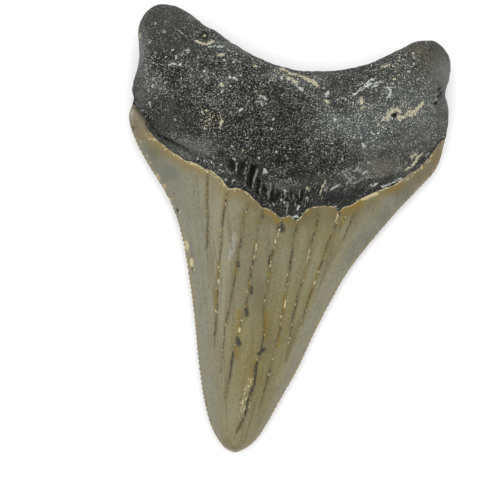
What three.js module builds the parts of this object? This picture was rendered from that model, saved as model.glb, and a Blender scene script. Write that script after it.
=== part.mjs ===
// A fossil shark tooth in one solid, lying on its flat labial side with the bulged lingual side up.
// Millimetres. +X to the tooth's right, +Y from the crown's tip to the root, +Z up.
// The origin is under the middle of the tooth's box, on the surface that it lies on.
//
// Seen from above, the tooth is two four-sided patches that share the enamel line: the crown runs from
// the tip to that line, and the root from it to the arch between the lobes. Each patch has a lingual and
// a labial sheet, and the sheets meet all round the outline in one seam.
// A place on a patch is given by two shares: across, from 0 at the left edge to 1 at the right one, and
// along, from 0 where the patch begins to 1 where it ends.
import * as THREE from "three";

// Driving dimensions of the crown, as heights over the surface or over the cutting edges
const BLADE_SEAM = 2.2; // height of the cutting edges
const SHOULDER_LIFT = 0.9; // how much higher they lie at the shoulders
const TIP_RISE = 1.0; // how far the lingual midline lies above them at the tip
const CROWN_RISE = 7.6; // the same at the enamel line
const TIP_LIFT = 1.1; // how far the labial side curves up at the tip
const LABIAL_ARCHING = 0.9; // the same at the enamel line
const CROWN_FOOT = [0.25, 0.55]; // the shares of the crown between which its labial side lies flat
const NOSE = 0.04; // share of the crown over which its tip rounds off
const SHOULDER_START = 0.75; // share of the crown where its edges and its labial side begin to lift
const CROWN_TAPER = 0.75; // below 1, the crown thickens fastest near its tip
const LINGUAL_HOLLOW = 0.62; // how thin the lingual flanks are beside the cutting edges, from 0 to 1
const LABIAL_HOLLOW = 0.3;
const SERRATION_HEIGHT = 0.16; // from the middle of the cutting edge to a serration's tip
const SERRATED_FROM = 0.03; // share of the edge where the serrations begin, worn away
const SERRATED_FULLY = 0.2; // where they have their whole height
const SHOULDER_WEAR = 0.6; // how much of them is worn away at the shoulder

// Driving dimensions of the root
const ROOT_SEAM = 5.6; // height of its widest line
const ROOT_RISE = 4.3; // how far the lobes rise above that line
const ROOT_BLEND = 0.43; // share of the root over which the crown's thickness turns into the root's
const ROOT_ROUNDING = 7.0; // how far in from the outline the lingual side goes on rising
const LABIAL_LIFT = 1.1; // how far its labial side lies above the surface
const LABIAL_ROUNDING = 5.0;
const NECK_DEPTH = 0.4; // how far the bare neck lies below the enamel
const NECK_WIDTH = 0.075; // the neck's share of the way to the arch
const NECK_TONGUE = { at: 0.42, spread: 0.13, width: 0.13 }; // where it reaches further up the bulge
const FOOT_BITE = 0.25; // how much is worn flat off the places that the tooth rests on

// Swellings and pits of the root, each with its middle in plan, its half widths and its height
const BULGES = [
  { at: [-0.5, 9.5], size: [14.5, 9.5], height: 4.9 },
  { at: [2, 21.5], size: [9, 5], height: -0.7 },
];
const PITS = [
  { at: [-12.7, 28.6], size: [1.5, 1.3], height: -0.6 },
  { at: [-12.4, 30.2], size: [1.2, 0.9], height: 0.4 },
  { at: [15.7, 16.9], size: [1.3, 1.2], height: -0.6 },
  { at: [22.0, 20.1], size: [1.6, 1.5], height: -0.9 },
  { at: [-20.0, 21.8], size: [1.8, 1.8], height: -0.35 },
  { at: [-10.2, 21.4], size: [1.6, 1.4], height: -0.3 },
  { at: [7.2, 19.2], size: [1.3, 2.0], height: -0.35 },
];
const LABIAL_FEET = [
  { at: [-16.5, 26.5], size: [6.5, 6.5], height: -1.5 },
  { at: [17, 22], size: [6.5, 6.5], height: -1.5 },
];

// Slow waves that keep the root from looking turned on a lathe: height, radians per millimetre, phase
const WAVES = [
  { height: 0.15, turns: [0.42, -0.51], phase: 2.5 },
  { height: 0.15, turns: [0.42, 0.51], phase: 0.1 },
  { height: 0.16, turns: [0.95, 0.55], phase: 0 },
  { height: 0.12, turns: [-0.8, 1.25], phase: 2.1 },
];
const LABIAL_WAVINESS = 0.4; // share of the waves that the flatter labial side has

// Mesh divisions. The tip has rows of its own, as shares of the way to the enamel line.
const TIP_ROWS = [0.005, 0.015];
const CROWN_ROWS = 26;
const SERRATIONS_PER_ROW = 3;
const LEDGE_ROW = 0.014; // just past the enamel line, as a share of the way to the arch
const ROOT_ROWS = 25;
const COLUMNS = 40;
const CROWDING = 0.6; // how much the columns and the root's rows crowd towards the outline
const SAMPLES_PER_POINT = 10;

// The outline in plan, each stretch starting where the one before it ends
const TIP = [-8.2, -33.7];
const LEFT_SHOULDER = [-23.6, 18.6];
const RIGHT_SHOULDER = [23.15, 12.2];
const LEFT_LOBE = [-19.3, 33.6];
const RIGHT_LOBE = [20.7, 28.2];
const LEFT_BLADE = [
  [-9.55, -33.2], [-10.65, -31.9], [-11.7, -29.9], [-12.7, -26.4], [-13.6, -20.4], [-14.3, -13.2],
  [-15.1, -7.2], [-16.15, -1.2], [-17.35, 2.7], [-19.1, 6.2], [-20.9, 9.1], [-22.7, 12.3],
  [-23.8, 15.0], [-24.1, 17.0],
];
const LEFT_ROOT = [
  [-23.4, 19.5], [-23.65, 20.8], [-23.5, 22.0], [-22.95, 23.4], [-22.6, 25.2], [-22.65, 27.6],
  [-22.6, 30.0], [-22.0, 31.8], [-20.8, 33.0],
];
const ARCH = [
  [-17.2, 33.25], [-15.2, 32.3], [-13.5, 30.95], [-12.5, 30.3], [-11.3, 29.75], [-9.5, 28.35],
  [-7.1, 26.85], [-4.1, 25.3], [-0.5, 24.0], [3.1, 23.5], [7.3, 23.7], [10.9, 24.4], [14.5, 25.8],
  [16.9, 26.95], [18.7, 27.85],
];
const RIGHT_ROOT = [
  [21.8, 28.0], [22.9, 27.2], [23.8, 25.95], [24.15, 24.3], [23.95, 22.5], [23.45, 21.0],
  [23.4, 19.8], [23.8, 18.3], [24.0, 16.5], [23.6, 14.4],
];
const RIGHT_BLADE = [
  [22.6, 10.2], [21.7, 8.4], [19.45, 6.0], [16.0, 2.4], [12.4, -1.8], [8.9, -6.3], [6.2, -10.95],
  [3.5, -16.2], [1.3, -21.0], [-1.3, -25.65], [-3.4, -29.4], [-5.0, -31.8], [-6.7, -33.2],
];

// The enamel line between crown and root, from the left shoulder to the right one, on either side
const LINGUAL_LINE = [
  LEFT_SHOULDER, [-20.8, 13.6], [-16.9, 10.9], [-12.2, 8.9], [-9.5, 6.6], [-5.5, 4.2], [-1.1, 1.6],
  [1.9, 1.8], [3.6, 3.1], [6.5, 3.1], [9.9, 3.9], [15.2, 6.4], [20.0, 9.4], RIGHT_SHOULDER,
];
const LABIAL_LINE = [
  LEFT_SHOULDER, [-20.0, 15.2], [-14.0, 12.0], [-7.0, 9.3], [0.0, 8.0], [7.0, 8.4], [14.0, 9.6],
  [20.0, 11.4], RIGHT_SHOULDER,
];

const smooth = THREE.MathUtils.smoothstep;
const mix = THREE.MathUtils.lerp;

// The height that a list of bumps gives a point in plan. A negative bump is a pit.
function relief(point, bumps) {
  return bumps.reduce((sum, { at: [x, y], size: [width, length], height }) => {
    return sum + height * Math.exp(-(((point.x - x) / width) ** 2) - ((point.y - y) / length) ** 2);
  }, 0);
}

// A line through samples that is walked at an even pace, from 0 at its start to 1 at its end.
class Stretch {
  constructor(samples) {
    this.samples = samples;
    this.lengths = [0];
    for (let i = 1; i < samples.length; i++) {
      this.lengths.push(this.lengths[i - 1] + samples[i].distanceTo(samples[i - 1]));
    }
  }

  at(share) {
    const target = share * this.lengths.at(-1);
    const found = this.lengths.findIndex((length) => length >= target);
    const next = found < 0 ? this.lengths.length - 1 : Math.max(1, found);
    const step = this.lengths[next] - this.lengths[next - 1];
    return this.samples[next - 1].clone().lerp(this.samples[next], (target - this.lengths[next - 1]) / step);
  }

  // The direction to the right of the way that the line runs.
  sideways(share) {
    const reach = 0.004;
    const ahead = this.at(Math.min(1, share + reach));
    const behind = this.at(Math.max(0, share - reach));
    return new THREE.Vector2(ahead.y - behind.y, behind.x - ahead.x).normalize();
  }

  reversed() {
    return new Stretch([...this.samples].reverse());
  }
}

// The closed outline is one smooth curve, cut at the tip, the shoulders and the lobes.
function outlineStretches() {
  const parts = [
    [TIP, ...LEFT_BLADE],
    [LEFT_SHOULDER, ...LEFT_ROOT],
    [LEFT_LOBE, ...ARCH],
    [RIGHT_LOBE, ...RIGHT_ROOT],
    [RIGHT_SHOULDER, ...RIGHT_BLADE],
  ];
  const points = parts.flat().map(([x, y]) => new THREE.Vector3(x, y, 0));
  const curve = new THREE.CatmullRomCurve3(points, true, "centripetal");
  let first = 0;
  const stretches = parts.map((part) => {
    const samples = [];
    for (let i = 0; i <= part.length * SAMPLES_PER_POINT; i++) {
      const point = curve.getPoint(Math.min(1, (first + i / SAMPLES_PER_POINT) / points.length));
      samples.push(new THREE.Vector2(point.x, point.y));
    }
    first += part.length;
    return new Stretch(samples);
  });
  const [leftBlade, leftRoot, arch, rightRoot, rightBlade] = stretches;
  return {
    leftBlade,
    leftRoot,
    arch,
    rightRoot: rightRoot.reversed(),
    rightBlade: rightBlade.reversed(),
    all: stretches.flatMap((stretch) => stretch.samples),
  };
}

function lineStretch(points) {
  const curve = new THREE.SplineCurve(points.map(([x, y]) => new THREE.Vector2(x, y)));
  return new Stretch(curve.getPoints(points.length * SAMPLES_PER_POINT));
}

const outline = outlineStretches();
const lingualLine = lineStretch(LINGUAL_LINE);
const labialLine = lineStretch(LABIAL_LINE);

// The point of a patch whose four sides are given, each as a stretch.
function patchPoint(across, along, bottom, top, left, right) {
  const sides = left.at(along).lerp(right.at(along), across);
  const low = bottom.at(across).sub(left.at(0).lerp(right.at(0), across));
  const high = top.at(across).sub(left.at(1).lerp(right.at(1), across));
  return sides.addScaledVector(low, 1 - along).addScaledVector(high, along);
}

const tipStretch = { at: () => new THREE.Vector2(...TIP) };

function crownPoint(across, along, line) {
  return patchPoint(across, along, tipStretch, line, outline.leftBlade, outline.rightBlade);
}

function rootPoint(across, along, line) {
  return patchPoint(across, along, line, outline.arch, outline.leftRoot, outline.rightRoot);
}

function distanceToOutline(point) {
  let least = Infinity;
  for (let i = 1; i < outline.all.length; i++) {
    const from = outline.all[i - 1];
    const runX = outline.all[i].x - from.x;
    const runY = outline.all[i].y - from.y;
    const awayX = point.x - from.x;
    const awayY = point.y - from.y;
    const length = Math.max(runX * runX + runY * runY, Number.EPSILON);
    const share = THREE.MathUtils.clamp((awayX * runX + awayY * runY) / length, 0, 1);
    least = Math.min(least, Math.hypot(awayX - share * runX, awayY - share * runY));
  }
  return least;
}

// From 0 at an edge to 1 at the given distance in from it, round like a quarter of an ellipse.
function rounded(distance, radius) {
  const left = 1 - Math.min(distance / radius, 1);
  return Math.sqrt(1 - left * left);
}

// Across the crown, from 0 at the cutting edges to 1 at the midline. A hollow above 0 thins the flanks.
function lens(across, hollow) {
  const round = 4 * across * (1 - across);
  return mix(round, round * round, hollow);
}

function unevenness(point) {
  return WAVES.reduce((sum, { height, turns: [x, y], phase }) => {
    return sum + height * Math.sin(x * point.x + y * point.y + phase);
  }, 0);
}

function crownSeam(along) {
  return BLADE_SEAM + SHOULDER_LIFT * smooth(along, SHOULDER_START, 1);
}

function rootSeam(along) {
  return mix(crownSeam(1), ROOT_SEAM, smooth(along, 0, ROOT_BLEND));
}

function crownLingual(across, along) {
  const rise = mix(TIP_RISE, CROWN_RISE, along ** CROWN_TAPER) * rounded(along, NOSE);
  return crownSeam(along) + rise * lens(across, LINGUAL_HOLLOW);
}

// The bare neck is a shallow step below the enamel line, with a tongue that runs up the bulge.
function neck(across, along) {
  const tongue = Math.exp(-(((across - NECK_TONGUE.at) / NECK_TONGUE.spread) ** 2));
  const end = NECK_WIDTH + NECK_TONGUE.width * tongue;
  const inside = smooth(along, 0, LEDGE_ROW) * (1 - smooth(along, end, end + NECK_WIDTH));
  return -NECK_DEPTH * lens(across, 0) * inside;
}

function rootLingual(across, along, point) {
  const height = ROOT_RISE + relief(point, BULGES) + relief(point, PITS) + unevenness(point);
  const swelling = height * rounded(distanceToOutline(point), ROOT_ROUNDING);
  const crownEnd = crownLingual(across, 1) - crownSeam(1);
  return rootSeam(along) + mix(crownEnd, swelling, smooth(along, 0, ROOT_BLEND)) + neck(across, along);
}

// The labial sheets are cut off flat where they would reach below the surface, so the tooth has feet.
function crownLabial(across, along) {
  const tipLift = TIP_LIFT * (1 - smooth(along, 0, CROWN_FOOT[0]));
  const archLift = LABIAL_ARCHING * smooth(along, CROWN_FOOT[1], 1);
  const depth = (crownSeam(along) + FOOT_BITE - tipLift - archLift) * rounded(along, NOSE);
  return Math.max(0, crownSeam(along) - depth * lens(across, LABIAL_HOLLOW));
}

function rootLabial(across, along, point) {
  const lift = LABIAL_LIFT + relief(point, LABIAL_FEET) + LABIAL_WAVINESS * unevenness(point);
  const depth = (ROOT_SEAM - lift) * rounded(distanceToOutline(point), LABIAL_ROUNDING);
  const crownEnd = crownSeam(1) - crownLabial(across, 1);
  return Math.max(0, rootSeam(along) - mix(crownEnd, depth, smooth(along, 0, ROOT_BLEND)));
}

// Each sheet has an enamel line, and its own heights over the surface for the crown and for the root.
const LINGUAL = { line: lingualLine, crown: crownLingual, root: rootLingual };
const LABIAL = { line: labialLine, crown: crownLabial, root: rootLabial };

// Columns from 0 to 1 that crowd towards both ends, as the rounded edges need.
function columnShares() {
  return Array.from({ length: COLUMNS + 1 }, (_, i) => {
    return mix(i / COLUMNS, (1 - Math.cos((Math.PI * i) / COLUMNS)) / 2, CROWDING);
  });
}

// Rows of the whole tooth, from the tip's first row to the arch. Only the root's last rows crowd.
function rows() {
  const crown = Array.from({ length: CROWN_ROWS }, (_, i) => (i + 1) / CROWN_ROWS);
  const root = Array.from({ length: ROOT_ROWS }, (_, i) => {
    const share = (i + 1) / ROOT_ROWS;
    return mix(share, Math.sin((Math.PI / 2) * share), CROWDING);
  });
  return [
    ...[...TIP_ROWS, ...crown].map((along) => ({ isCrown: true, along })),
    ...[LEDGE_ROW, ...root].map((along) => ({ isCrown: false, along })),
  ];
}

class MeshBuilder {
  constructor() {
    this.positions = [];
    this.triangles = [];
  }

  vertex(point, height) {
    this.positions.push(point.x, point.y, height);
    return this.positions.length / 3 - 1;
  }

  // Both sheets have the same layout, so the labial one is the lingual one with its faces turned over.
  triangle(a, b, c, turned) {
    if (a === b || b === c || c === a) return;
    this.triangles.push(...(turned ? [a, c, b] : [a, b, c]));
  }

  quad(a, b, c, d, turned) {
    this.triangle(a, b, c, turned);
    this.triangle(a, c, d, turned);
  }
}

// The serrated seam between two rows: a list of vertices from the lower row's up to the upper row's.
// The serrations are worn away at the tip and low at the shoulder.
function seamBetween(builder, blade, below, above, fromVertex, toVertex) {
  const seam = [fromVertex];
  const steps = 2 * SERRATIONS_PER_ROW;
  for (let i = 1; i < steps; i++) {
    const share = mix(below, above, i / steps);
    const wear = SHOULDER_WEAR * smooth(share, SHOULDER_START, 1);
    const height = SERRATION_HEIGHT * smooth(share, SERRATED_FROM, SERRATED_FULLY) * (1 - wear);
    const point = blade.at(share).addScaledVector(blade.sideways(share), i % 2 ? height : -height);
    seam.push(builder.vertex(point, crownSeam(share)));
  }
  return [...seam, toVertex];
}

// Fills the strip between a seam and the two vertices of the column beside it.
function seamStrip(builder, seam, low, high, turned) {
  const middle = Math.floor(seam.length / 2);
  for (let i = 1; i < seam.length; i++) {
    builder.triangle(i <= middle ? low : high, seam[i], seam[i - 1], turned);
  }
  builder.triangle(low, high, seam[middle], turned);
}

function sheetVertex(builder, { line, crown, root }, { isCrown, along }, across) {
  const point = isCrown ? crownPoint(across, along, line) : rootPoint(across, along, line);
  return builder.vertex(point, isCrown ? crown(across, along) : root(across, along, point));
}

function toothGeometry() {
  const builder = new MeshBuilder();
  const tip = builder.vertex(new THREE.Vector2(...TIP), BLADE_SEAM);
  const columns = columnShares();
  const tipRow = columns.map(() => tip);
  const sheets = { lingual: [tipRow], labial: [tipRow] };
  const seams = { left: [], right: [] };
  const list = rows();

  // The vertices on the outline belong to both sheets, so the labial rows take the lingual rows' ones.
  list.forEach((row, index) => {
    const isArch = index === list.length - 1;
    const lingual = columns.map((across) => sheetVertex(builder, LINGUAL, row, across));
    const labial = columns.map((across, column) => {
      const onOutline = column === 0 || column === COLUMNS || isArch;
      return onOutline ? lingual[column] : sheetVertex(builder, LABIAL, row, across);
    });
    const below = index === 0 ? 0 : list[index - 1].along;
    const serrated = row.isCrown && index > TIP_ROWS.length;
    for (const [side, blade, column] of [
      ["left", outline.leftBlade, 0],
      ["right", outline.rightBlade, COLUMNS],
    ]) {
      const from = sheets.lingual[index][column];
      const to = lingual[column];
      seams[side].push(serrated ? seamBetween(builder, blade, below, row.along, from, to) : [from, to]);
    }
    sheets.lingual.push(lingual);
    sheets.labial.push(labial);
  });

  for (const [name, turned] of [["lingual", false], ["labial", true]]) {
    const sheet = sheets[name];
    for (let row = 1; row < sheet.length; row++) {
      const low = sheet[row - 1];
      const high = sheet[row];
      seamStrip(builder, seams.left[row - 1], low[1], high[1], turned);
      for (let column = 1; column < COLUMNS - 1; column++) {
        builder.quad(low[column], low[column + 1], high[column + 1], high[column], turned);
      }
      seamStrip(builder, seams.right[row - 1], low[COLUMNS - 1], high[COLUMNS - 1], !turned);
    }
  }

  const geometry = new THREE.BufferGeometry();
  geometry.setAttribute("position", new THREE.Float32BufferAttribute(builder.positions, 3));
  geometry.setIndex(builder.triangles);
  geometry.computeBoundingBox();
  const middle = geometry.boundingBox.getCenter(new THREE.Vector3());
  geometry.translate(-middle.x, -middle.y, 0);
  geometry.computeVertexNormals();
  return geometry;
}

const fossil = new THREE.MeshStandardMaterial({ color: 0x5c5a4e, roughness: 0.55, metalness: 0 });
const tooth = new THREE.Mesh(toothGeometry(), fossil);
tooth.name = "tooth";

const part = new THREE.Group();
part.add(tooth);

export default part;
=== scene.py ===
import bpy
import numpy as np
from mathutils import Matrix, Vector, noise


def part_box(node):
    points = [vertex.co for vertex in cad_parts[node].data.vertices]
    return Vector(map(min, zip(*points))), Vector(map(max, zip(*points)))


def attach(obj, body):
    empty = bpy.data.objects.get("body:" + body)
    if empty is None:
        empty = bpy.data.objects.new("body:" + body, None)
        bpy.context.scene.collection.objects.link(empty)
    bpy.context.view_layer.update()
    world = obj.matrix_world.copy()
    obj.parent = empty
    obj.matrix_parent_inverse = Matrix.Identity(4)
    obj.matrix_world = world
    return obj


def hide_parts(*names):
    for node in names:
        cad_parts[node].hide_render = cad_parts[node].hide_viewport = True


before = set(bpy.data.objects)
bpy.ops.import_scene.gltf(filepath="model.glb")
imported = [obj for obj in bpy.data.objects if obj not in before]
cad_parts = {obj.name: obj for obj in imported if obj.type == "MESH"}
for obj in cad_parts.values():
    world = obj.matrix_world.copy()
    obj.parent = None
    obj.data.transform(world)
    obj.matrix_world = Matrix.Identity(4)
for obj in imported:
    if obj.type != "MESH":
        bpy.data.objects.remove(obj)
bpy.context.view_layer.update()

METRES = 0.001  # one millimetre in metres

# The solid's driving dimensions, as in the CAD model
BLADE_SEAM = 2.2  # height of the cutting edges
SHOULDER_LIFT = 0.9  # how much higher they lie at the shoulders
TIP_RISE = 1.0  # how far the lingual midline lies above them at the tip
CROWN_RISE = 7.6  # the same at the enamel line
TIP_LIFT = 1.1  # how far the labial side curves up at the tip
LABIAL_ARCHING = 0.9  # the same at the enamel line
CROWN_FOOT = (0.25, 0.55)  # the shares of the crown between which its labial side lies flat
NOSE = 0.04  # share of the crown over which its tip rounds off
SHOULDER_START = 0.75  # share of the crown where its edges begin to lift
CROWN_TAPER = 0.75
LINGUAL_HOLLOW = 0.62
LABIAL_HOLLOW = 0.3
ROOT_SEAM = 5.6  # height of the root's widest line
ROOT_RISE = 4.3
ROOT_BLEND = 0.43  # share of the root over which the crown's thickness turns into the root's
ROOT_ROUNDING = 7.0
LABIAL_LIFT = 1.1
LABIAL_ROUNDING = 5.0
FOOT_BITE = 0.25
BULGES = [((-0.5, 9.5), (14.5, 9.5), 4.9), ((2, 21.5), (9, 5), -0.7)]
LABIAL_FEET = [((-16.5, 26.5), (6.5, 6.5), -1.5), ((17, 22), (6.5, 6.5), -1.5)]
WAVES = [
    (0.15, (0.42, -0.51), 2.5), (0.15, (0.42, 0.51), 0.1), (0.16, (0.95, 0.55), 0),
    (0.12, (-0.8, 1.25), 2.1),
]
LABIAL_WAVINESS = 0.4

# The lingual side of the tip, rounded off evenly from its edge in, where the solid has a sharper lens
TIP_ROUNDING = 2.2
TIP_BLEND = 0.09  # share of the crown over which the rounding turns into the lens

# The outline in plan, each stretch starting where the one before it ends
TIP = (-8.2, -33.7)
LEFT_SHOULDER = (-23.6, 18.6)
RIGHT_SHOULDER = (23.4, 13.3)
LEFT_LOBE = (-19.3, 33.6)
RIGHT_LOBE = (20.7, 28.2)
LEFT_BLADE = [
    (-9.55, -33.2), (-10.65, -31.9), (-11.7, -29.9), (-12.7, -26.4), (-13.6, -20.4), (-14.3, -13.2),
    (-15.1, -7.2), (-16.15, -1.2), (-17.35, 2.7), (-19.1, 6.2), (-20.9, 9.1), (-22.7, 12.3),
    (-23.8, 15.0), (-24.1, 17.0),
]
LEFT_ROOT = [
    (-23.4, 19.5), (-23.65, 20.8), (-23.5, 22.0), (-22.95, 23.4), (-22.6, 25.2), (-22.65, 27.6),
    (-22.6, 30.0), (-22.0, 31.8), (-20.8, 33.0),
]
ARCH = [
    (-17.2, 33.25), (-15.2, 32.3), (-13.5, 30.95), (-12.5, 30.3), (-11.3, 29.75), (-9.5, 28.35),
    (-7.1, 26.85), (-4.1, 25.3), (-0.5, 24.0), (3.1, 23.5), (7.3, 23.7), (10.9, 24.4), (14.5, 25.8),
    (16.9, 26.95), (18.7, 27.85),
]
RIGHT_ROOT = [
    (21.8, 28.0), (22.9, 27.2), (23.8, 25.95), (24.15, 24.3), (23.95, 22.5), (23.45, 21.0),
    (23.4, 19.8), (23.8, 18.3), (24.0, 16.5), (23.6, 14.4),
]
RIGHT_BLADE = [
    (23.1, 12.1), (22.6, 10.2), (21.7, 8.4), (19.45, 6.0), (16.0, 2.4), (12.4, -1.8), (8.9, -6.3),
    (6.2, -10.95),
    (3.5, -16.2), (1.3, -21.0), (-1.3, -25.65), (-3.4, -29.4), (-5.0, -31.8), (-6.7, -33.2),
]

# Where the enamel ends on either side, and the upper border of the bare neck on the lingual side
LINGUAL_LINE = [
    LEFT_SHOULDER, (-22.6, 17.7), (-21.8, 16.4), (-21.3, 14.9), (-20.6, 14.0), (-19.9, 13.2), (-18.9, 12.4),
    (-17.9, 11.5), (-16.8, 10.9), (-16.0, 10.3), (-15.0, 10.0), (-13.9, 9.6), (-12.9, 8.95), (-12.0, 8.7),
    (-11.0, 7.9), (-10.1, 7.2), (-9.6, 6.4), (-9.0, 5.9), (-8.0, 6.0), (-7.0, 5.6), (-6.2, 5.1), (-5.5, 4.4),
    (-4.8, 3.8), (-4.2, 3.1), (-3.1, 2.8), (-2.1, 2.1), (-1.3, 1.5), (-0.5, 1.7), (0.0, 1.9), (0.5, 1.4),
    (1.1, 1.15), (1.6, 1.6), (2.0, 2.1), (2.9, 2.9), (4.0, 3.2), (5.4, 3.25), (6.8, 3.1), (7.3, 2.5),
    (7.7, 2.6),
    (8.1, 3.05), (9.0, 3.3), (10.0, 3.9), (11.0, 4.5), (12.2, 5.0), (13.8, 5.7), (15.0, 6.2), (16.0, 6.6),
    (17.0, 7.3), (18.0, 8.1), (19.0, 8.5), (20.0, 9.5), (21.0, 10.5), (21.7, 11.5), (22.4, 12.7),
    RIGHT_SHOULDER,
]
LABIAL_LINE = [
    LEFT_SHOULDER, (-20.0, 15.2), (-14.0, 12.0), (-7.0, 9.3), (0.0, 8.0), (7.0, 8.4), (14.0, 9.6),
    (20.0, 11.4), RIGHT_SHOULDER,
]
NECK_BORDER = [
    (-24.5, 18.2), (-22.8, 17.2), (-21.8, 15.9), (-20.6, 14.6), (-18.8, 13.6), (-17.0, 12.8), (-15.0, 11.8),
    (-13.2, 11.1), (-12.1, 10.8), (-11.1, 11.5), (-10.0, 11.6), (-9.0, 11.0), (-7.4, 10.0), (-5.8, 10.0),
    (-4.6, 8.9), (-2.9, 7.0), (-0.8, 6.5), (1.2, 6.3), (3.2, 6.7), (5.6, 7.2), (7.8, 6.6), (9.5, 6.3),
    (11.0, 6.8),
    (12.5, 7.0), (14.2, 7.4), (16.5, 8.1), (18.5, 9.0), (20.8, 11.2), (21.7, 12.2), (22.6, 13.1),
    (24.5, 13.8),
]

JAG_LENGTH = 0.9  # of the jags in the enamel's end
LINGUAL_JAGS = 0.09  # how far they reach
LABIAL_JAGS = 0.12
JAG_WINDOW = 0.05  # share of the enamel line over which its course is evened out
JAG_FADING = 10  # how steeply its bends fade out up the root and down the crown

# Mesh divisions: how far along each patch a step is kept, and the step
CROWN_LENGTH = 48.0
ROOT_LENGTH = 22.0
CROWN_STEPS = [(2.0, 0.12), (46.8, 0.30), (48.0, 0.12)]
ROOT_STEPS = [(1.0, 0.10), (8.0, 0.17), (20.4, 0.21), (22.0, 0.12)]
EDGE_SPLIT = 3  # rows beside the cutting edges for each row elsewhere
COLUMNS = 240
CROWDING = 0.2  # how much the columns crowd towards the outline
LINGUAL_EDGE = 4  # columns beside each cutting edge with the finer rows
LABIAL_EDGE = 2
LABIAL_CLOSE = 8  # columns beside the outline that the labial side has in full
SAMPLES = 8  # points on a curve for each that shapes it
LINGUAL, LABIAL, SEAM = 0, 1, 2


def smooth(value, low, high):
    share = np.clip((value - low) / (high - low), 0, 1)
    return share * share * (3 - 2 * share)


def mix(low, high, share):
    return low + (high - low) * share


def bumps(points, marks):
    """The height that a list of (middle, half widths, height) bumps gives each point in plan."""
    total = np.zeros(len(points))
    for (x, y), (width, length), height in marks:
        total += height * np.exp(-(((points[:, 0] - x) / width) ** 2) - ((points[:, 1] - y) / length) ** 2)
    return total


def noise_at(points, period, octaves=2):
    """Smooth noise from about -1 to 1, with swellings about half a period wide."""
    return np.array([noise.fractal(Vector(place), 1.0, 2.0, octaves) for place in points / period])


def wavering(points, period, amount):
    """The points moved about by noise, so that what is drawn by them wavers."""
    flat = np.column_stack([points, np.zeros(len(points))])
    return points + amount * np.column_stack([noise_at(flat + start, period, 2) for start in (0, 50)])


def curve_pieces(knots, closed):
    """Samples of a smooth curve through the knots, one array for the way from each knot to the next."""
    knots = np.array(knots, float)
    before = knots[-1] if closed else 2 * knots[0] - knots[1]
    after = knots[:2] if closed else [2 * knots[-1] - knots[-2]]
    padded = np.vstack([before, knots, *after])
    pace = np.sqrt(np.linalg.norm(np.diff(padded, axis=0), axis=1))
    share = (np.arange(SAMPLES) / SAMPLES)[:, None]
    pieces = []
    for i in range(1, len(padded) - 2):
        a, b, c, d = padded[i - 1 : i + 3]
        last, here, following = pace[i - 1 : i + 2]
        leaving = here * ((b - a) / last - (c - a) / (last + here) + (c - b) / here)
        arriving = here * ((c - b) / here - (d - b) / (here + following) + (d - c) / following)
        bend = 3 * (c - b) - 2 * leaving - arriving
        twist = 2 * (b - c) + leaving + arriving
        pieces.append(b + share * leaving + share**2 * bend + share**3 * twist)
    return pieces


class Stretch:
    """A line that is walked at an even pace, from 0 at its start to 1 at its end."""

    def __init__(self, samples):
        self.samples = samples
        steps = np.linalg.norm(np.diff(samples, axis=0), axis=1)
        self.shares = np.concatenate([[0], np.cumsum(steps)]) / steps.sum()

    def at(self, share):
        return np.stack([np.interp(share, self.shares, self.samples[:, axis]) for axis in (0, 1)], -1)

    def sideways(self, share):
        """The direction to the right of the way that the line runs."""
        run = self.at(np.minimum(share + 0.004, 1)) - self.at(np.maximum(share - 0.004, 0))
        right = np.stack([run[:, 1], -run[:, 0]], -1)
        return right / np.linalg.norm(right, axis=1)[:, None]


def outline_stretches():
    parts = [[TIP, *LEFT_BLADE], [LEFT_SHOULDER, *LEFT_ROOT], [LEFT_LOBE, *ARCH], [RIGHT_LOBE, *RIGHT_ROOT],
             [RIGHT_SHOULDER, *RIGHT_BLADE]]
    pieces = curve_pieces([knot for part in parts for knot in part], closed=True)
    stretches, first = [], 0
    for part in parts:
        end = pieces[(first + len(part)) % len(pieces)][:1]
        stretches.append(np.vstack([*pieces[first : first + len(part)], end]))
        first += len(part)
    left_blade, left_root, arch, right_root, right_blade = stretches
    whole = np.vstack(stretches)
    return (*map(Stretch, (left_blade, left_root, arch, right_root[::-1], right_blade[::-1])), whole)


def line_stretch(knots, jagged=0.0):
    samples = np.vstack([*curve_pieces(knots, closed=False), knots[-1]])
    samples[1:-1] = wavering(samples[1:-1], JAG_LENGTH, jagged)
    return Stretch(samples)


LEFT_EDGE, LEFT_SIDE, TOP_SIDE, RIGHT_SIDE, RIGHT_EDGE, OUTLINE = outline_stretches()
LINES = {LINGUAL: line_stretch(LINGUAL_LINE, LINGUAL_JAGS), LABIAL: line_stretch(LABIAL_LINE, LABIAL_JAGS)}


def gap_to(points, line):
    """How far each point in plan lies from a line of points, negative to the line's right."""
    best = np.full(len(points), np.inf)
    for start, end in zip(line[:-1], line[1:]):
        run = end - start
        away = points - start
        share = np.clip(away @ run / max(run @ run, 1e-9), 0, 1)
        distance = np.hypot(away[:, 0] - share * run[0], away[:, 1] - share * run[1])
        left = np.where(run[0] * away[:, 1] < run[1] * away[:, 0], -1, 1)
        best = np.where(distance < np.abs(best), distance * left, best)
    return best


def strokes_near(points, strokes):
    """For each stroke its strength, the points near it, and their gaps from it in its half widths.
    A stroke is (half width, strength, the places that it runs through)."""
    for half, strength, *places in strokes:
        line = np.array(places if len(places) > 1 else places * 2, float)
        low, high = line.min(0) - 2 * half, line.max(0) + 2 * half
        near = np.flatnonzero(((points > low) & (points < high)).all(1))
        yield strength, near, np.abs(gap_to(points[near], line)) / half


def painted(points, strokes):
    """How strongly strokes cover each point in plan: their strength on them, 0 at their borders."""
    field = np.full(len(points), -1.0)
    for strength, near, gap in strokes_near(points, strokes):
        field[near] = np.maximum(field[near], strength * (1 - gap))
    return field


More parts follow.
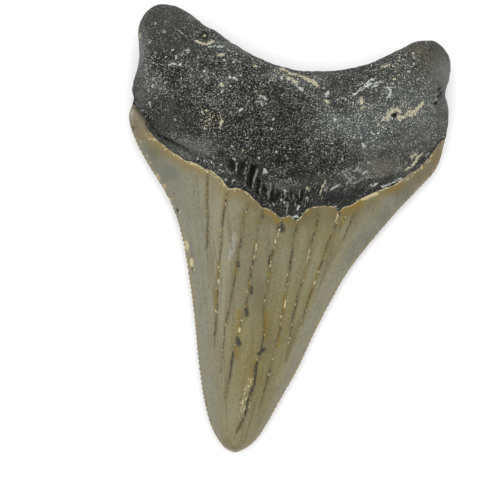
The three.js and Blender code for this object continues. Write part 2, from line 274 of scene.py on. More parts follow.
def raised(points, strokes):
    """The height that strokes give each point in plan, where their strength is a height."""
    total = np.zeros(len(points))
    for strength, near, gap in strokes_near(points, strokes):
        total[near] += strength * np.maximum(1 - gap**2, 0) ** 2
    return total


# Form. A place on the tooth is across, from 0 at the left edge to 1 at the right one, and row, from 0 at
# the tip through 1 at the enamel line to 2 at the arch.


def patch(across, along, bottom, top, left, right):
    """Places in plan on a patch with four sides, each a function of its share."""
    a, u = across[:, None], along[:, None]
    sides = mix(left.at(along), right.at(along), a)
    low = bottom(across) - mix(left.at(0), right.at(0), a)
    high = top(across) - mix(left.at(1), right.at(1), a)
    return sides + (1 - u) * low + u * high


def bends(across, line):
    """How far each share of a line lies from the line's evened-out course."""
    shares = across[:, None] + JAG_WINDOW * np.linspace(-1, 1, 11)
    inner = np.clip(shares, 0, 1)
    return line.at(across) - (2 * line.at(inner) - line.at(2 * inner - shares)).mean(1)


def in_plan(across, row, line):
    crown = patch(across, np.minimum(row, 1), lambda share: np.array([TIP]), line.at, LEFT_EDGE, RIGHT_EDGE)
    root = patch(across, np.clip(row - 1, 0, 1), line.at, TOP_SIDE.at, LEFT_SIDE, RIGHT_SIDE)
    near = 1 - np.abs(row - 1)
    flat = np.where((row <= 1)[:, None], crown, root)
    return flat - (near - near**JAG_FADING)[:, None] * bends(across, line)


def rounded(distance, radius):
    left = 1 - np.minimum(distance / radius, 1)
    return np.sqrt(1 - left * left)


def lens(across, hollow):
    half = 4 * across * (1 - across)
    return mix(half, half * half, hollow)


def unevenness(points):
    return sum(high * np.sin(points @ np.array(turns) + phase) for high, turns, phase in WAVES)


def crown_seam(along):
    return BLADE_SEAM + SHOULDER_LIFT * smooth(along, SHOULDER_START, 1)


def root_seam(along):
    return mix(crown_seam(1), ROOT_SEAM, smooth(along, 0, ROOT_BLEND))


def crown_lingual(across, along, inside):
    rise = mix(TIP_RISE, CROWN_RISE, along**CROWN_TAPER)
    section = mix(rounded(inside, TIP_ROUNDING), lens(across, LINGUAL_HOLLOW), smooth(along, 0, TIP_BLEND))
    return crown_seam(along) + rise * section


def root_lingual(across, along, points, inside):
    swelling = (ROOT_RISE + bumps(points, BULGES) + unevenness(points)) * rounded(inside, ROOT_ROUNDING)
    crown_end = crown_lingual(across, np.ones_like(along), inside) - crown_seam(1)
    return root_seam(along) + mix(crown_end, swelling, smooth(along, 0, ROOT_BLEND))


def crown_labial(across, along):
    tip_lift = TIP_LIFT * (1 - smooth(along, 0, CROWN_FOOT[0]))
    arch_lift = LABIAL_ARCHING * smooth(along, CROWN_FOOT[1], 1)
    depth = (crown_seam(along) + FOOT_BITE - tip_lift - arch_lift) * rounded(along, NOSE)
    return np.maximum(0, crown_seam(along) - depth * lens(across, LABIAL_HOLLOW))


def root_labial(across, along, points, inside):
    lift = LABIAL_LIFT + bumps(points, LABIAL_FEET) + LABIAL_WAVINESS * unevenness(points)
    depth = (ROOT_SEAM - lift) * rounded(inside, LABIAL_ROUNDING)
    crown_end = crown_seam(1) - crown_labial(across, np.ones_like(along))
    return np.maximum(0, root_seam(along) - mix(crown_end, depth, smooth(along, 0, ROOT_BLEND)))


# Layout of the mesh, as lines of vertices that run from the tip to the arch


class Layout:
    """Vertices by place and side, and the faces between them."""

    def __init__(self):
        self.across, self.row, self.side = [np.array([0.5])], [np.array([0.0])], [np.array([SEAM])]
        self.count = 1  # the tip
        self.faces = []
        self.face_sides = []

    def line(self, across, rows, side, last=None):
        """A line's vertices, from the tip's first row on. The last can be a vertex that is there already."""
        new = rows if last is None else rows[:-1]
        numbers = list(range(self.count, self.count + len(new)))
        self.across.append(np.full(len(new), across))
        self.row.append(new)
        self.side.append(np.full(len(new), side))
        self.count += len(new)
        return numbers if last is None else [*numbers, last], rows

    def face(self, side, *corners):
        self.faces.append(corners if side == LINGUAL else corners[::-1])
        self.face_sides.append(side)

    def strip(self, side, left, right, arch):
        """Fills the way between two lines. The arch's vertices between their ends run from right to left."""
        (a, a_rows), (b, b_rows) = left, right
        self.face(side, 0, b[0], a[0])
        i = j = 0
        while i < len(a) - 1 or j < len(b) - 1:
            ends = i >= len(a) - 2 and j >= len(b) - 2
            if len(a) == len(b):
                self.face(side, a[i], b[j], b[j + 1], *(arch if ends else ()), a[i + 1])
                i, j = i + 1, j + 1
            elif j == len(b) - 1 or (i < len(a) - 1 and a_rows[i + 1] <= b_rows[j + 1]):
                done = j == len(b) - 1 and i == len(a) - 2
                self.face(side, a[i], b[j], *(arch if done else ()), a[i + 1])
                i += 1
            else:
                done = i == len(a) - 1 and j == len(b) - 2
                self.face(side, a[i], b[j], b[j + 1], *(arch if done else ()))
                j += 1


def graded(steps, length):
    """Shares of a length that step as the list of (up to, step) says."""
    rows, at = [], 0.0
    for end, step in steps:
        count = round((end - at) / step)
        rows.append(at + (end - at) * (np.arange(count) + 1) / count)
        at = end
    return np.concatenate(rows) / length


def every_second(rows):
    return rows[::-2][::-1]


def lay_out():
    crown, root = graded(CROWN_STEPS, CROWN_LENGTH), 1 + graded(ROOT_STEPS, ROOT_LENGTH)
    steps = np.arange(EDGE_SPLIT) / EDGE_SPLIT
    starts = np.concatenate([[0], crown[:-1]])
    split = (starts[:, None] + np.diff(crown, prepend=0)[:, None] * steps).ravel()[1:]
    fine = np.concatenate([split, crown[-1:], root])
    main = np.concatenate([crown, root])
    coarse = np.concatenate([every_second(crown), every_second(root)])

    even = np.arange(COLUMNS + 1) / COLUMNS
    shares = mix(even, (1 - np.cos(np.pi * even)) / 2, CROWDING)
    layout = Layout()
    seams = {column: layout.line(shares[column], fine, SEAM) for column in (0, COLUMNS)}
    from_edge = np.minimum(np.arange(COLUMNS + 1), COLUMNS - np.arange(COLUMNS + 1))

    top = dict(seams)
    for column in range(1, COLUMNS):
        rows = fine if from_edge[column] <= LINGUAL_EDGE else main
        top[column] = layout.line(shares[column], rows, LINGUAL)
    arch = [top[column][0][-1] for column in range(COLUMNS + 1)]

    under = dict(seams)
    for column in range(1, COLUMNS):
        if from_edge[column] > LABIAL_CLOSE and column % 2:
            continue
        rows = fine if from_edge[column] <= LABIAL_EDGE else coarse
        under[column] = layout.line(shares[column], rows, LABIAL, last=arch[column])

    for side, lines in ((LINGUAL, top), (LABIAL, under)):
        columns = sorted(lines)
        for left, right in zip(columns[:-1], columns[1:]):
            layout.strip(side, lines[left], lines[right], arch[left + 1 : right][::-1])
    return layout


# Marks and relief that the solid is too coarse for, read off the photograph in millimetres on the plan. Each
# stroke is (half width, strength, the places that it runs through).

# Serrations
SERRATIONS = 78  # on each cutting edge
SERRATION_HEIGHT = 0.13
SERRATION_REACH = 0.34  # how far in from the edge they shape the faces
SERRATED = (0.03, 0.2)  # the shares of the edge over which they grow to their whole height
SHOULDER_WEAR = 0.6
SERRATIONS_END = (0.925, 0.955)  # the shares of the edge over which they fade out under the shoulder

# Chips out of the left cutting edge and nicks in the right one, by depth
CHIPS = [
    (0.3, 0.12, (-20.9, 9.6)), (0.35, 0.15, (-20.1, 8.2), (-19.5, 7.4)),
    (0.4, 0.22, (-18.95, 6.4), (-18.7, 5.9)),
    (0.4, 0.2, (-18.0, 4.35), (-17.7, 4.3)), (0.3, 0.12, (-17.5, 3.3)), (0.3, 0.5, (-16.85, 2.6)),
    (0.25, 0.3, (-16.9, 1.6)), (0.5, 0.15, (-15.5, -2.3), (-15.5, -3.0)), (0.4, 0.12, (-14.8, -4.2)),
    (0.45, 0.15, (-14.8, -4.8), (-14.7, -5.5)), (0.3, 0.3, (-14.7, -6.1)), (0.3, 0.2, (12.2, -2.1)),
    (0.3, 0.2, (11.6, -2.6)), (0.3, 0.2, (10.2, -4.6)), (0.3, 0.2, (8.1, -7.7)), (0.3, 0.2, (-0.4, -24.3)),
]

# The rounded end of the left shoulder and the groove under it
KNOBS = [(1.5, 0.55, (-23.1, 16.8)), (0.5, -0.25, (-24.2, 15.3), (-23.2, 15.1))]
# Where the enamel of the shoulder darkens
SHOULDER_BLEND = [(0.9, 1.2, (-23.4, 18.5), (-22.5, 17.5), (-21.8, 16.3), (-21.4, 15.0))]

# Cracks in the lingual enamel, from left to right: strength, the places that they run through.
# Each has a faint line for its whole length and darker pieces on it.
CRACK_REACH = 0.32
STAIN_REACH = 0.8  # how far the stain beside a crack reaches
STAINED_FROM = 0.5  # the strength above which a crack has one
CRACKS = [
    (0.5, (-14.0, 8.8), (-13.75, 5.5), (-13.6, 3.8)), (0.48, (-14.4, 8.0), (-14.3, 5.0)),
    (0.48, (-13.2, 3.0), (-13.05, -0.3)),
    (0.85, (-12.25, 8.0), (-12.35, 5.4), (-12.3, 2.8), (-12.3, -1.0), (-12.4, -3.0)),
    (0.45, (-12.4, -3.0), (-12.35, -5.0), (-12.1, -9.0)),
    (0.4, (-10.9, 7.0), (-11.2, 4.0)), (0.4, (-8.3, 5.0), (-8.6, 2.6)), (0.4, (-15.9, 9.2), (-15.6, 6.5)),

    (0.6, (-9.3, 5.7), (-9.95, 1.5), (-10.25, -2.5), (-10.6, -5.0), (-10.9, -10.7), (-11.0, -13.5),
     (-11.3, -18.0)),
    (1.0, (-9.5, 4.6), (-9.6, 3.8), (-9.8, 2.8), (-9.95, 1.5), (-10.1, 0.2)),
    (0.9, (-10.7, -6.9), (-10.7, -7.1)),
    (0.8, (-10.3, -1.0), (-10.25, -2.5), (-10.4, -3.9), (-10.6, -5.0)), (0.9, (-10.8, -9.4), (-10.8, -9.9)),
    (0.9, (-10.9, -11.4), (-10.9, -12.0)), (0.8, (-11.0, -13.5), (-11.2, -15.5), (-11.3, -16.8)),
    (0.35, (-11.4, -9.0), (-11.5, -11.0)), (0.35, (-11.7, -9.2), (-11.8, -10.8)),

    (0.55, (-6.2, 3.8), (-7.0, 0.8), (-7.3, -1.8), (-7.8, -4.8), (-8.2, -7.5), (-9.0, -12.0), (-9.8, -15.5),
     (-10.4, -21.5)),
    (0.75, (-6.4, 2.9), (-6.8, 1.8), (-7.0, 0.8), (-7.1, 0.0)), (1.0, (-7.3, -1.8), (-7.3, -2.6)),
    (0.5, (-9.2, -3.3), (-9.5, -4.8)),
    (0.8, (-7.3, -2.6), (-7.6, -3.0), (-7.8, -4.8)),
    (0.8, (-8.1, -6.5), (-8.4, -8.6), (-8.6, -9.7), (-8.9, -11.0)),
    (1.0, (-9.25, -12.7), (-9.3, -13.1)), (0.75, (-9.5, -13.6), (-9.8, -15.5), (-10.0, -17.8)),

    (0.55, (-4.4, 1.6), (-4.8, -0.5), (-5.1, -2.4), (-5.45, -4.2), (-5.9, -7.0), (-6.2, -10.0),
     (-7.1, -13.8), (-7.9, -16.2)),
    (0.55, (-7.9, -16.2), (-8.6, -19.5), (-9.05, -22.6), (-9.7, -25.5)),
    (0.85, (-5.1, -2.4), (-5.22, -3.2), (-5.45, -4.2), (-5.6, -4.7)),
    (1.0, (-5.5, -5.0), (-5.7, -5.9), (-6.0, -8.0)),
    (1.1, (-6.35, -12.9), (-6.35, -13.15)), (0.9, (-7.1, -13.8), (-7.4, -14.1)),
    (0.6, (-6.2, -10.0), (-6.5, -12.0)),
    (1.0, (-8.5, -18.8), (-8.6, -19.5), (-8.75, -20.4), (-8.9, -22.1)),
    (0.8, (-8.9, -22.1), (-9.2, -23.3), (-9.4, -24.0)),

    (0.55, (-1.4, 1.3), (-1.8, -1.2), (-2.5, -3.6), (-3.0, -6.9), (-3.5, -9.5), (-3.9, -11.8),
     (-3.8, -15.3), (-4.2, -17.8)),
    (0.8, (-2.5, -3.6), (-2.9, -4.4)), (1.2, (-3.05, -4.8), (-3.05, -5.3)),
    (0.9, (-3.6, -10.1), (-3.65, -10.5)),
    (0.7, (-3.9, -11.8), (-3.9, -13.0), (-3.8, -14.3), (-3.85, -16.2)),
    (0.95, (-3.85, -16.2), (-4.1, -17.3), (-4.2, -17.8), (-4.45, -19.8)),
    (1.2, (-4.8, -20.2), (-5.0, -20.8)),
    (1.1, (-5.0, -21.0), (-5.05, -22.0), (-5.15, -22.8), (-5.3, -23.7), (-5.6, -24.3)),
    (0.95, (-5.6, -24.3), (-5.9, -25.0), (-6.1, -26.0)),
    (0.85, (-6.1, -26.0), (-6.3, -26.7), (-6.6, -27.9), (-6.9, -28.6)),
    (0.75, (-6.9, -28.6), (-7.3, -29.4), (-7.6, -30.0), (-7.9, -30.7)),
    (0.5, (-7.9, -30.7), (-8.1, -31.2), (-8.4, -31.9)),

    (0.55, (1.15, 1.2), (0.95, 0.0), (0.6, -1.4), (0.35, -4.0), (0.0, -6.2), (-0.3, -8.3), (-0.75, -10.5),
     (-1.4, -14.9)),
    (0.55, (-1.4, -14.9), (-1.7, -16.5), (-2.3, -18.6), (-2.9, -21.3), (-3.4, -23.2), (-4.1, -25.5),
     (-4.6, -27.3)),
    (0.75, (1.1, 0.9), (1.05, 0.0), (0.8, -0.7), (0.55, -1.3)),
    (1.0, (0.45, -3.0), (0.35, -4.0), (0.2, -4.6), (0.05, -6.2)),
    (0.8, (-0.1, -6.7), (-0.25, -7.5), (-0.3, -8.3)),
    (0.9, (-1.4, -14.9), (-1.35, -15.3), (-1.6, -16.0), (-1.7, -16.5)),
    (1.0, (-2.9, -21.3), (-3.2, -22.2), (-3.4, -23.2)), (0.7, (-3.4, -23.2), (-3.9, -24.6)),
    (0.9, (-2.1, -16.9)),

    (0.55, (4.1, 3.1), (4.2, 1.5), (4.0, 0.2), (3.5, -1.5), (2.8, -5.4), (2.1, -7.6), (1.2, -10.3),
     (0.5, -13.6), (-0.5, -20.0)),
    (1.0, (4.3, 2.1), (4.15, 1.2), (4.05, 0.2)), (1.0, (3.9, -0.5), (3.5, -1.5), (3.3, -2.2)),
    (0.9, (1.8, -8.4), (1.78, -8.8)),
    (0.85, (1.2, -10.3), (1.2, -10.8), (0.75, -12.4), (0.5, -13.6), (0.1, -16.5)),
    (1.1, (-0.1, -16.8), (-0.1, -17.0)),

    (0.55, (7.1, 1.6), (6.75, -0.4), (6.1, -1.6), (5.3, -3.6), (4.4, -6.5), (3.5, -9.2), (2.5, -12.0),
     (1.8, -14.5)),
    (1.4, (7.7, 3.1), (7.45, 2.6), (7.4, 2.0)), (0.9, (7.1, 0.7), (6.8, 0.2), (6.75, -0.4)),
    (0.9, (5.0, -4.8), (4.7, -5.6), (4.4, -6.5)),
    (0.9, (6.2, -1.2), (6.1, -1.6), (5.8, -2.2), (5.6, -2.9), (5.3, -3.6)), (1.0, (3.6, -8.8), (3.5, -9.2)),
    (0.8, (3.4, -9.4), (3.05, -10.2), (2.8, -11.0), (2.5, -12.0), (2.3, -12.7)),
    (0.6, (8.6, 2.3), (8.2, 1.3), (7.7, 0.4), (7.4, -0.3)), (0.4, (10.5, 2.3), (10.0, 1.2)),
    (0.4, (12.0, 3.4), (11.2, 1.6)),
    (0.8, (9.7, 2.3), (9.3, 1.2), (8.9, 0.1), (8.4, -1.0), (8.1, -1.7)),
    (0.5, (8.1, -1.7), (7.2, -3.5), (6.1, -5.5)),
]
SPECKS_AND_GROOVE_SHADE = [  # dark ones, in the enamel and at the cutting edges, and painted shade in the groove under the shoulder's knob
    (0.14, 1.0, (8.1, -6.2), (8.1, -6.4)), (0.11, 0.7, (5.9, -7.9)), (0.11, 0.7, (-6.8, -17.2)),
    (0.1, 0.6, (-5.9, -3.0)),
    (0.11, 0.7, (-4.8, -28.2)), (0.11, 0.7, (-9.9, -27.1)), (0.11, 0.7, (-10.9, -27.5)),
    (0.11, 0.7, (-8.3, -30.7)),
    (0.26, 1.3, (-16.85, 2.6)), (0.2, 1.1, (-16.95, 1.6)), (0.2, 0.8, (-14.7, -6.1)),
    (0.16, 0.9, (12.2, -2.1)),
    (0.16, 0.9, (11.6, -2.6)), (0.16, 0.9, (10.2, -4.6)), (0.16, 0.9, (8.1, -7.7)),
    (0.16, 0.9, (-0.4, -24.3)),
    # The last one darkens the groove under the shoulder's knob: painted shade
    (0.13, 0.8, (10.9, -1.1)), (0.45, 0.8, (-24.3, 15.3), (-23.5, 15.1)),
]
SOOT = [  # grey-green stains that sit in shallow pits
    (0.3, 0.9, (-1.85, 0.5), (-1.8, -0.3)), (0.3, 0.9, (-1.25, 0.8), (-1.15, 0.2)),
    (0.54, 1.5, (-1.1, 0.1), (-1.1, -0.4)), (0.34, 1.1, (-6.5, -11.6), (-6.5, -12.3)),
    (0.36, 1.3, (-6.4, -12.7), (-6.4, -13.1)), (0.36, 1.1, (-7.85, -5.2), (-7.7, -5.7)),
    (0.44, 1.3, (-5.8, -8.9), (-5.8, -9.7)), (0.25, 0.6, (-6.4, -10.5), (-6.6, -12.5)),
    (0.46, 1.2, (-7.85, -16.7), (-7.55, -17.5)), (0.5, 1.5, (-3.95, -18.3)), (0.42, 1.3, (-4.6, -18.8)),
    (0.25, 0.5, (-3.9, -18.5), (-4.6, -18.8)), (0.4, 0.6, (-4.0, 2.4), (-4.05, 1.6)),
    (0.3, 0.6, (-2.5, -3.6), (-2.9, -4.4)),
    (0.3, 0.7, (-3.05, -4.7), (-3.05, -5.4)), (0.3, 0.5, (-8.5, -18.9), (-8.8, -20.8)),
    (0.3, 0.6, (-5.1, -20.4), (-5.2, -22.6)),
    (0.34, 0.9, (-5.5, -24.0), (-5.95, -25.0), (-6.3, -26.3), (-6.6, -27.6)),
    (0.28, 0.7, (-6.6, -27.6), (-7.0, -29.0), (-7.7, -30.4)),
]
FILLING_SPREAD = 1.4
CREAM_BITS = [  # pale fillings of the cracks
    (0.13, 1.0, (-10.7, -5.8), (-10.5, -6.6)), (0.13, 1.0, (-10.75, -7.7), (-10.65, -8.3)),
    (0.13, 1.0, (-11.0, -9.1)),
    (0.13, 1.0, (-11.1, -12.3), (-11.1, -12.7)), (0.11, 0.7, (-10.3, -0.3), (-10.3, -0.6)),
    (0.11, 0.7, (-7.2, -1.0)),
    (0.14, 1.0, (-4.95, -2.4), (-5.1, -3.2), (-5.3, -4.2), (-5.45, -4.7)),
    (0.11, 1.0, (-6.4, -9.2), (-6.4, -9.6)),
    (0.11, 0.7, (-6.5, -11.0)), (0.19, 1.4, (-7.5, -15.1), (-7.6, -15.5)), (0.13, 1.0, (-8.3, -18.2)),
    (0.13, 0.9, (-5.6, 1.7)), (0.13, 0.7, (-1.4, 1.2), (-1.5, 0.3), (-1.55, -0.6)),
    (0.14, 0.9, (-1.6, -0.8), (-1.95, -1.5), (-2.3, -2.6), (-2.4, -3.1)),
    (0.14, 1.1, (-2.8, -5.1), (-2.9, -5.8)),
    (0.13, 0.9, (-3.1, -7.1), (-3.1, -7.3)), (0.15, 1.0, (-3.7, -10.9)), (0.14, 1.0, (-4.9, -19.7)),
    (0.45, 0.5, (-5.9, -22.8), (-6.5, -25.0), (-7.1, -28.0)), (0.4, 0.55, (-6.4, -23.6), (-7.1, -27.0)),
    (0.1, 0.8, (-6.7, -26.3), (-6.9, -27.4)), (0.1, 0.8, (-5.9, -26.3), (-6.2, -27.2)),
    (0.13, 1.0, (1.05, 1.1)), (0.13, 1.0, (0.3, -4.6)), (0.13, 1.0, (0.8, -4.8)),
    (0.11, 0.9, (-0.3, -6.8), (-0.5, -7.3)),
    (0.11, 0.8, (-0.65, -9.1), (-0.65, -9.4)), (0.16, 1.2, (-0.65, -10.9), (-0.7, -11.6), (-0.85, -11.9)),
    (0.13, 1.0, (-1.25, -13.1), (-1.3, -13.4)), (0.13, 0.9, (-2.0, -17.3)), (0.13, 0.9, (-2.3, -18.6)),
    (0.13, 0.9, (-2.5, -19.7)), (0.13, 0.9, (-2.6, -20.5)), (0.14, 1.1, (3.8, 0.85)),
    (0.13, 1.0, (3.05, -2.9), (2.9, -3.6), (2.7, -4.5), (2.55, -5.1), (2.3, -5.4)), (0.13, 0.9, (1.9, -8.1)),
    (0.13, 1.0, (1.6, -9.0)), (0.17, 1.1, (7.25, 2.1), (7.15, 1.5), (6.9, 1.0)),
    (0.13, 1.0, (3.9, -7.9), (3.6, -8.6)),
]
EDGE_CREAM = [  # dentine laid bare by the chips
    (0.3, 1.4, (-20.95, 9.75)), (0.22, 1.0, (-20.1, 8.2), (-19.5, 7.4)), (0.2, 0.9, (-19.3, 7.05)),
    (0.3, 1.1, (-18.95, 6.5), (-18.75, 6.0)), (0.2, 0.8, (-18.6, 5.5)),
    (0.32, 1.0, (-18.1, 4.4), (-17.7, 4.3)),
    (0.28, 0.8, (-17.5, 3.3)), (0.16, 1.2, (-16.75, 2.25), (-16.4, 2.45)), (0.2, 0.8, (-16.5, 0.3)),
    (0.46, 1.4, (-15.7, -2.2), (-15.3, -2.6), (-15.6, -3.1)), (0.44, 1.4, (-14.8, -4.8), (-14.6, -5.5)),
    (0.12, 0.8, (-14.3, -6.3)), (0.2, 1.2, (-22.35, 13.1)), (0.22, 1.2, (-21.35, 10.8)),
    (0.2, 0.9, (22.0, 9.6)), (0.22, 1.0, (22.7, 12.0)), (0.2, 0.9, (21.5, 8.6)),
]
RIM = [  # pale, broken edge of the enamel
    (0.45, 0.45, (-18.8, 12.1), (-16.2, 10.3), (-14.0, 9.4), (-12.2, 8.4), (-10.6, 7.2), (-9.6, 6.1),
     (-8.4, 5.7)),
    (0.3, 0.9, (22.9, 12.6)),
    (0.3, 0.3, (-21.4, 13.9), (-18.8, 12.1)),
    (0.3, 0.35, (17.0, 7.0), (19.0, 8.2), (21.0, 10.1), (22.2, 12.0)),
    (0.16, 0.6, (-21.2, 13.4), (-20.6, 13.4), (-20.1, 13.1)), (0.18, 0.7, (-19.0, 12.5)),
    (0.18, 0.9, (-18.0, 11.6), (-17.0, 11.0)),
    (0.2, 1.0, (-16.5, 10.7)), (0.18, 0.9, (-16.0, 10.3), (-15.3, 10.1)),
    (0.26, 1.1, (-14.9, 9.8), (-14.2, 9.5)),
    (0.2, 1.0, (-13.7, 9.5), (-13.0, 9.0)), (0.2, 1.0, (-12.6, 8.7)), (0.26, 1.1, (-11.7, 8.5), (-10.8, 7.8)),
    (0.24, 1.2, (-9.0, 5.85)), (0.2, 1.2, (-8.4, 5.9), (-7.9, 5.95)), (0.2, 1.3, (-6.7, 5.5), (-6.3, 5.15)),
    (0.17, 1.0, (-5.9, 4.85)), (0.2, 1.3, (-5.2, 4.25), (-4.8, 3.9), (-4.65, 4.15)),
    (0.2, 1.1, (-3.9, 3.1), (-3.6, 2.95)),
    (0.13, 0.8, (3.3, 3.15), (5.0, 3.25), (6.8, 3.15)), (0.17, 1.2, (3.9, 3.2)), (0.17, 1.1, (4.3, 3.2)),
    (0.36, 1.3, (11.0, 4.3), (12.0, 4.75), (13.2, 5.2)), (0.24, 0.9, (14.0, 5.8), (15.3, 6.4), (17.0, 7.2)),
]
RUST = [  # orange-brown stains
    (0.55, 1.0, (-3.9, 2.3), (-3.2, 2.3)), (0.5, 1.1, (-2.6, 2.1), (-1.8, 0.9)), (0.45, 1.5, (-0.5, 1.2)),
    (0.35, 0.9, (-4.6, 1.0)), (0.3, 0.7, (-5.4, 1.2)), (0.4, 0.9, (2.6, 2.2)),
    (0.6, 1.0, (7.8, 2.5), (8.9, 2.3)),
    (0.6, 1.4, (9.3, 3.1), (10.6, 3.7)), (0.4, 0.9, (13.3, 4.7)), (0.6, 0.6, (14.0, 5.0), (17.0, 6.6)),
    (0.3, 0.9, (-10.3, -0.3), (-10.3, -0.7)), (0.25, 1.0, (-10.9, -10.6)),
    (0.25, 1.0, (-8.3, -8.0)), (0.3, 0.7, (-4.6, 0.9)), (0.3, 1.0, (-7.7, -14.5), (-7.9, -15.0)),
    (0.3, 0.8, (-7.9, -15.9)), (0.4, 1.1, (-8.0, -18.8)), (0.35, 1.0, (-7.8, -18.0)),
    (0.4, 0.9, (-7.6, -12.4), (-7.6, -13.6)), (0.45, 0.9, (-7.9, -17.8), (-8.1, -19.2)),
    (0.5, 0.9, (-5.2, -20.4), (-5.4, -22.4)),
    (0.3, 0.8, (-7.1, -9.5)), (0.35, 1.1, (-3.0, -6.8), (-3.1, -7.2)),
    (0.45, 0.9, (-3.5, -12.6), (-3.6, -16.4)),
    (0.3, 0.9, (-4.2, -14.3)), (0.4, 1.6, (-5.1, -20.0), (-5.2, -21.0)),
    (0.4, 1.0, (-5.2, -21.0), (-5.35, -22.3)), (0.3, 0.9, (-4.7, -23.0)),
    (0.3, 0.7, (0.6, -2.1)), (0.36, 1.1, (-0.65, -12.5)), (0.3, 1.0, (-1.5, -16.5), (-1.7, -17.8)),
    (0.3, 1.0, (2.45, -5.8)), (0.3, 0.8, (2.2, -6.3), (2.2, -6.8)), (0.35, 0.9, (6.3, -1.1), (6.1, -1.7)),
    (0.3, 1.0, (5.2, -4.1), (5.0, -4.5)), (0.3, 0.9, (4.4, -6.5)), (0.4, 0.8, (8.6, 2.3), (7.6, 0.2)),
    (0.3, 0.9, (-10.6, -5.0), (-10.75, -7.5)), (0.3, 0.8, (-11.0, -9.5), (-11.1, -12.0)),
    (0.3, 0.9, (-0.8, -9.8), (-0.8, -11.8)),
    (0.28, 0.8, (5.7, -2.6), (5.2, -3.9), (4.5, -6.0), (3.8, -8.2), (2.9, -10.8)),
    (0.3, 0.7, (-8.0, -5.0), (-8.2, -7.4)),
    (0.3, 0.3, (-12.4, 7.5), (-12.4, 3.0)), (0.4, 0.6, (-9.7, 4.5), (-10.1, 1.0)),
    (0.4, 0.6, (-6.6, 2.6), (-7.1, 0.4)),
]
FROST_AND_GLINT = [  # bluish-white smears and soft pale bands, and on the shoulder's knob a painted glint and sheen
    (0.7, 1.1, (-8.2, -1.3), (-8.4, -2.2), (-8.8, -3.2), (-9.0, -4.5)),
    (0.2, 0.7, (-6.65, -11.7), (-6.5, -12.5)),
    # Painted glint and soft painted sheen on the shoulder's knob
    (0.5, 1.6, (-23.6, 17.5), (-23.55, 16.9)), (1.0, 0.6, (-23.4, 16.8)),
]
# Painted highlight: a soft pale band along the ridge on the right of the crown, where it faces the light
PAINTED_HIGHLIGHT_BANDS = [
    (1.0, 0.9, (9.4, -1.4), (7.4, -4.4), (5.5, -7.9), (3.9, -11.6), (2.1, -15.7), (-0.3, -20.6),
     (-1.9, -23.2)),
]

# Soft differences between areas of the enamel, and y with how wide the grey margin is there
PALE_ENAMEL = [
    ((-10.6, -1.0), (2.6, 9.5), 1.2), ((-10.5, -14.0), (1.8, 7.0), 1.0), ((-13.5, 5.5), (3.0, 2.6), 0.6),
    ((8.6, -0.4), (2.2, 1.8), 0.8),
    ((-5.5, 3.0), (3.0, 1.2), 0.3), ((-2.8, -3.5), (2.0, 3.0), 0.25), ((4.0, -5.0), (2.5, 4.0), 0.6),
    ((-8.6, -30.0), (2.4, 3.6), 0.8), ((1.5, -9.0), (2.0, 2.5), 0.4),
    ((-9.5, -23.0), (1.6, 4.0), 0.6), ((2.2, -13.2), (1.4, 2.2), 1.0), ((7.0, -5.5), (1.0, 2.0), -0.3),
]
WARM_ENAMEL = [
    ((5.0, -2.0), (3.6, 4.0), 0.7), ((2.0, -11.0), (2.5, 4.0), 0.6), ((-7.4, -15.0), (1.4, 3.0), 0.6),
    ((-5.5, -21.0), (4.5, 6.0), 0.95),
    ((-1.0, -14.0), (2.4, 4.0), 0.8), ((13.0, 4.0), (2.2, 1.2), 0.7), ((-15.0, 9.6), (2.6, 0.8), 0.6),
    ((-8.0, -32.0), (3.0, 3.0), 0.6),
]
# Darker areas: the enamel's own tone, and at the tip painted shade along its rim, where the surface turns down
DARK_AND_SHADED_ENAMEL = [
    ((-8.3, -33.5), (2.0, 0.6), 1.0), ((-3.5, -15.5), (0.7, 3.0), 0.9), ((-5.4, -22.5), (0.8, 2.6), 0.6),
    ((-7.9, -18.8), (0.7, 1.6), 0.6),
    ((-3.2, 1.2), (1.6, 0.9), 0.7), ((2.5, 1.4), (3.0, 1.2), 0.6), ((6.5, 0.5), (1.5, 2.0), 0.4),
    ((-0.3, -1.0), (1.0, 1.4), 0.3),
    ((-4.6, -10.0), (1.2, 3.5), 0.5), ((13.5, 3.4), (2.5, 1.4), 0.25), ((17.0, 5.6), (2.0, 1.2), 0.4),
    ((-19.6, 9.6), (1.2, 2.0), 0.5),
    ((-5.2, 3.3), (1.6, 0.7), 0.5), ((-5.5, -8.5), (3.5, 4.5), 0.3), ((1.5, 2.6), (3.0, 1.5), 0.35),
    ((-6.0, -1.0), (3.0, 4.0), 0.25), ((-19.6, 11.6), (1.6, 1.2), 0.6), ((10.0, 2.4), (2.0, 1.0), 0.3),
    ((-9.8, -32.4), (0.8, 1.0), 0.8), ((19.6, 7.6), (1.2, 0.8), 0.5),
]
BROWN_ENAMEL = [
    ((21.0, 9.4), (2.6, 2.6), 1.1), ((17.5, 6.6), (2.6, 1.6), 0.7), ((-22.9, 16.6), (1.3, 1.6), 0.7),
    ((-21.8, 14.3), (1.1, 1.2), 1.2), ((-20.2, 12.9), (1.2, 0.6), 0.6), ((-22.6, 14.4), (0.9, 0.9), 0.6),
    ((22.4, 11.8), (1.2, 1.4), 1.0),
]
GREY_ENAMEL = [
    ((-18.2, 8.4), (2.0, 1.7), 1.0), ((-20.6, 11.0), (1.0, 1.6), 0.8), ((-21.4, 12.2), (0.7, 1.1), 0.9),
    ((17.6, 4.8), (2.0, 1.4), 1.0), ((14.6, 1.4), (1.8, 1.6), 1.0), ((11.6, -1.8), (1.5, 1.8), 0.8),
    ((9.2, -4.4), (1.2, 1.8), 0.6), ((-16.8, 4.5), (1.2, 2.0), 0.3),
]
LEFT_MARGIN = [(-34, 0.05), (-32.5, 0.2), (-30, 1.0), (-24, 2.2), (-12, 2.7), (-6, 3.2), (0, 4.6), (8, 5.5)]
RIGHT_MARGIN = [
    (-34, 0.05), (-32.5, 0.15), (-30, 0.6), (-27, 0.9), (-21, 1.4), (-15, 1.8), (-9, 2.2), (-3, 2.0),
    (0, 2.6), (6, 4.5),
]

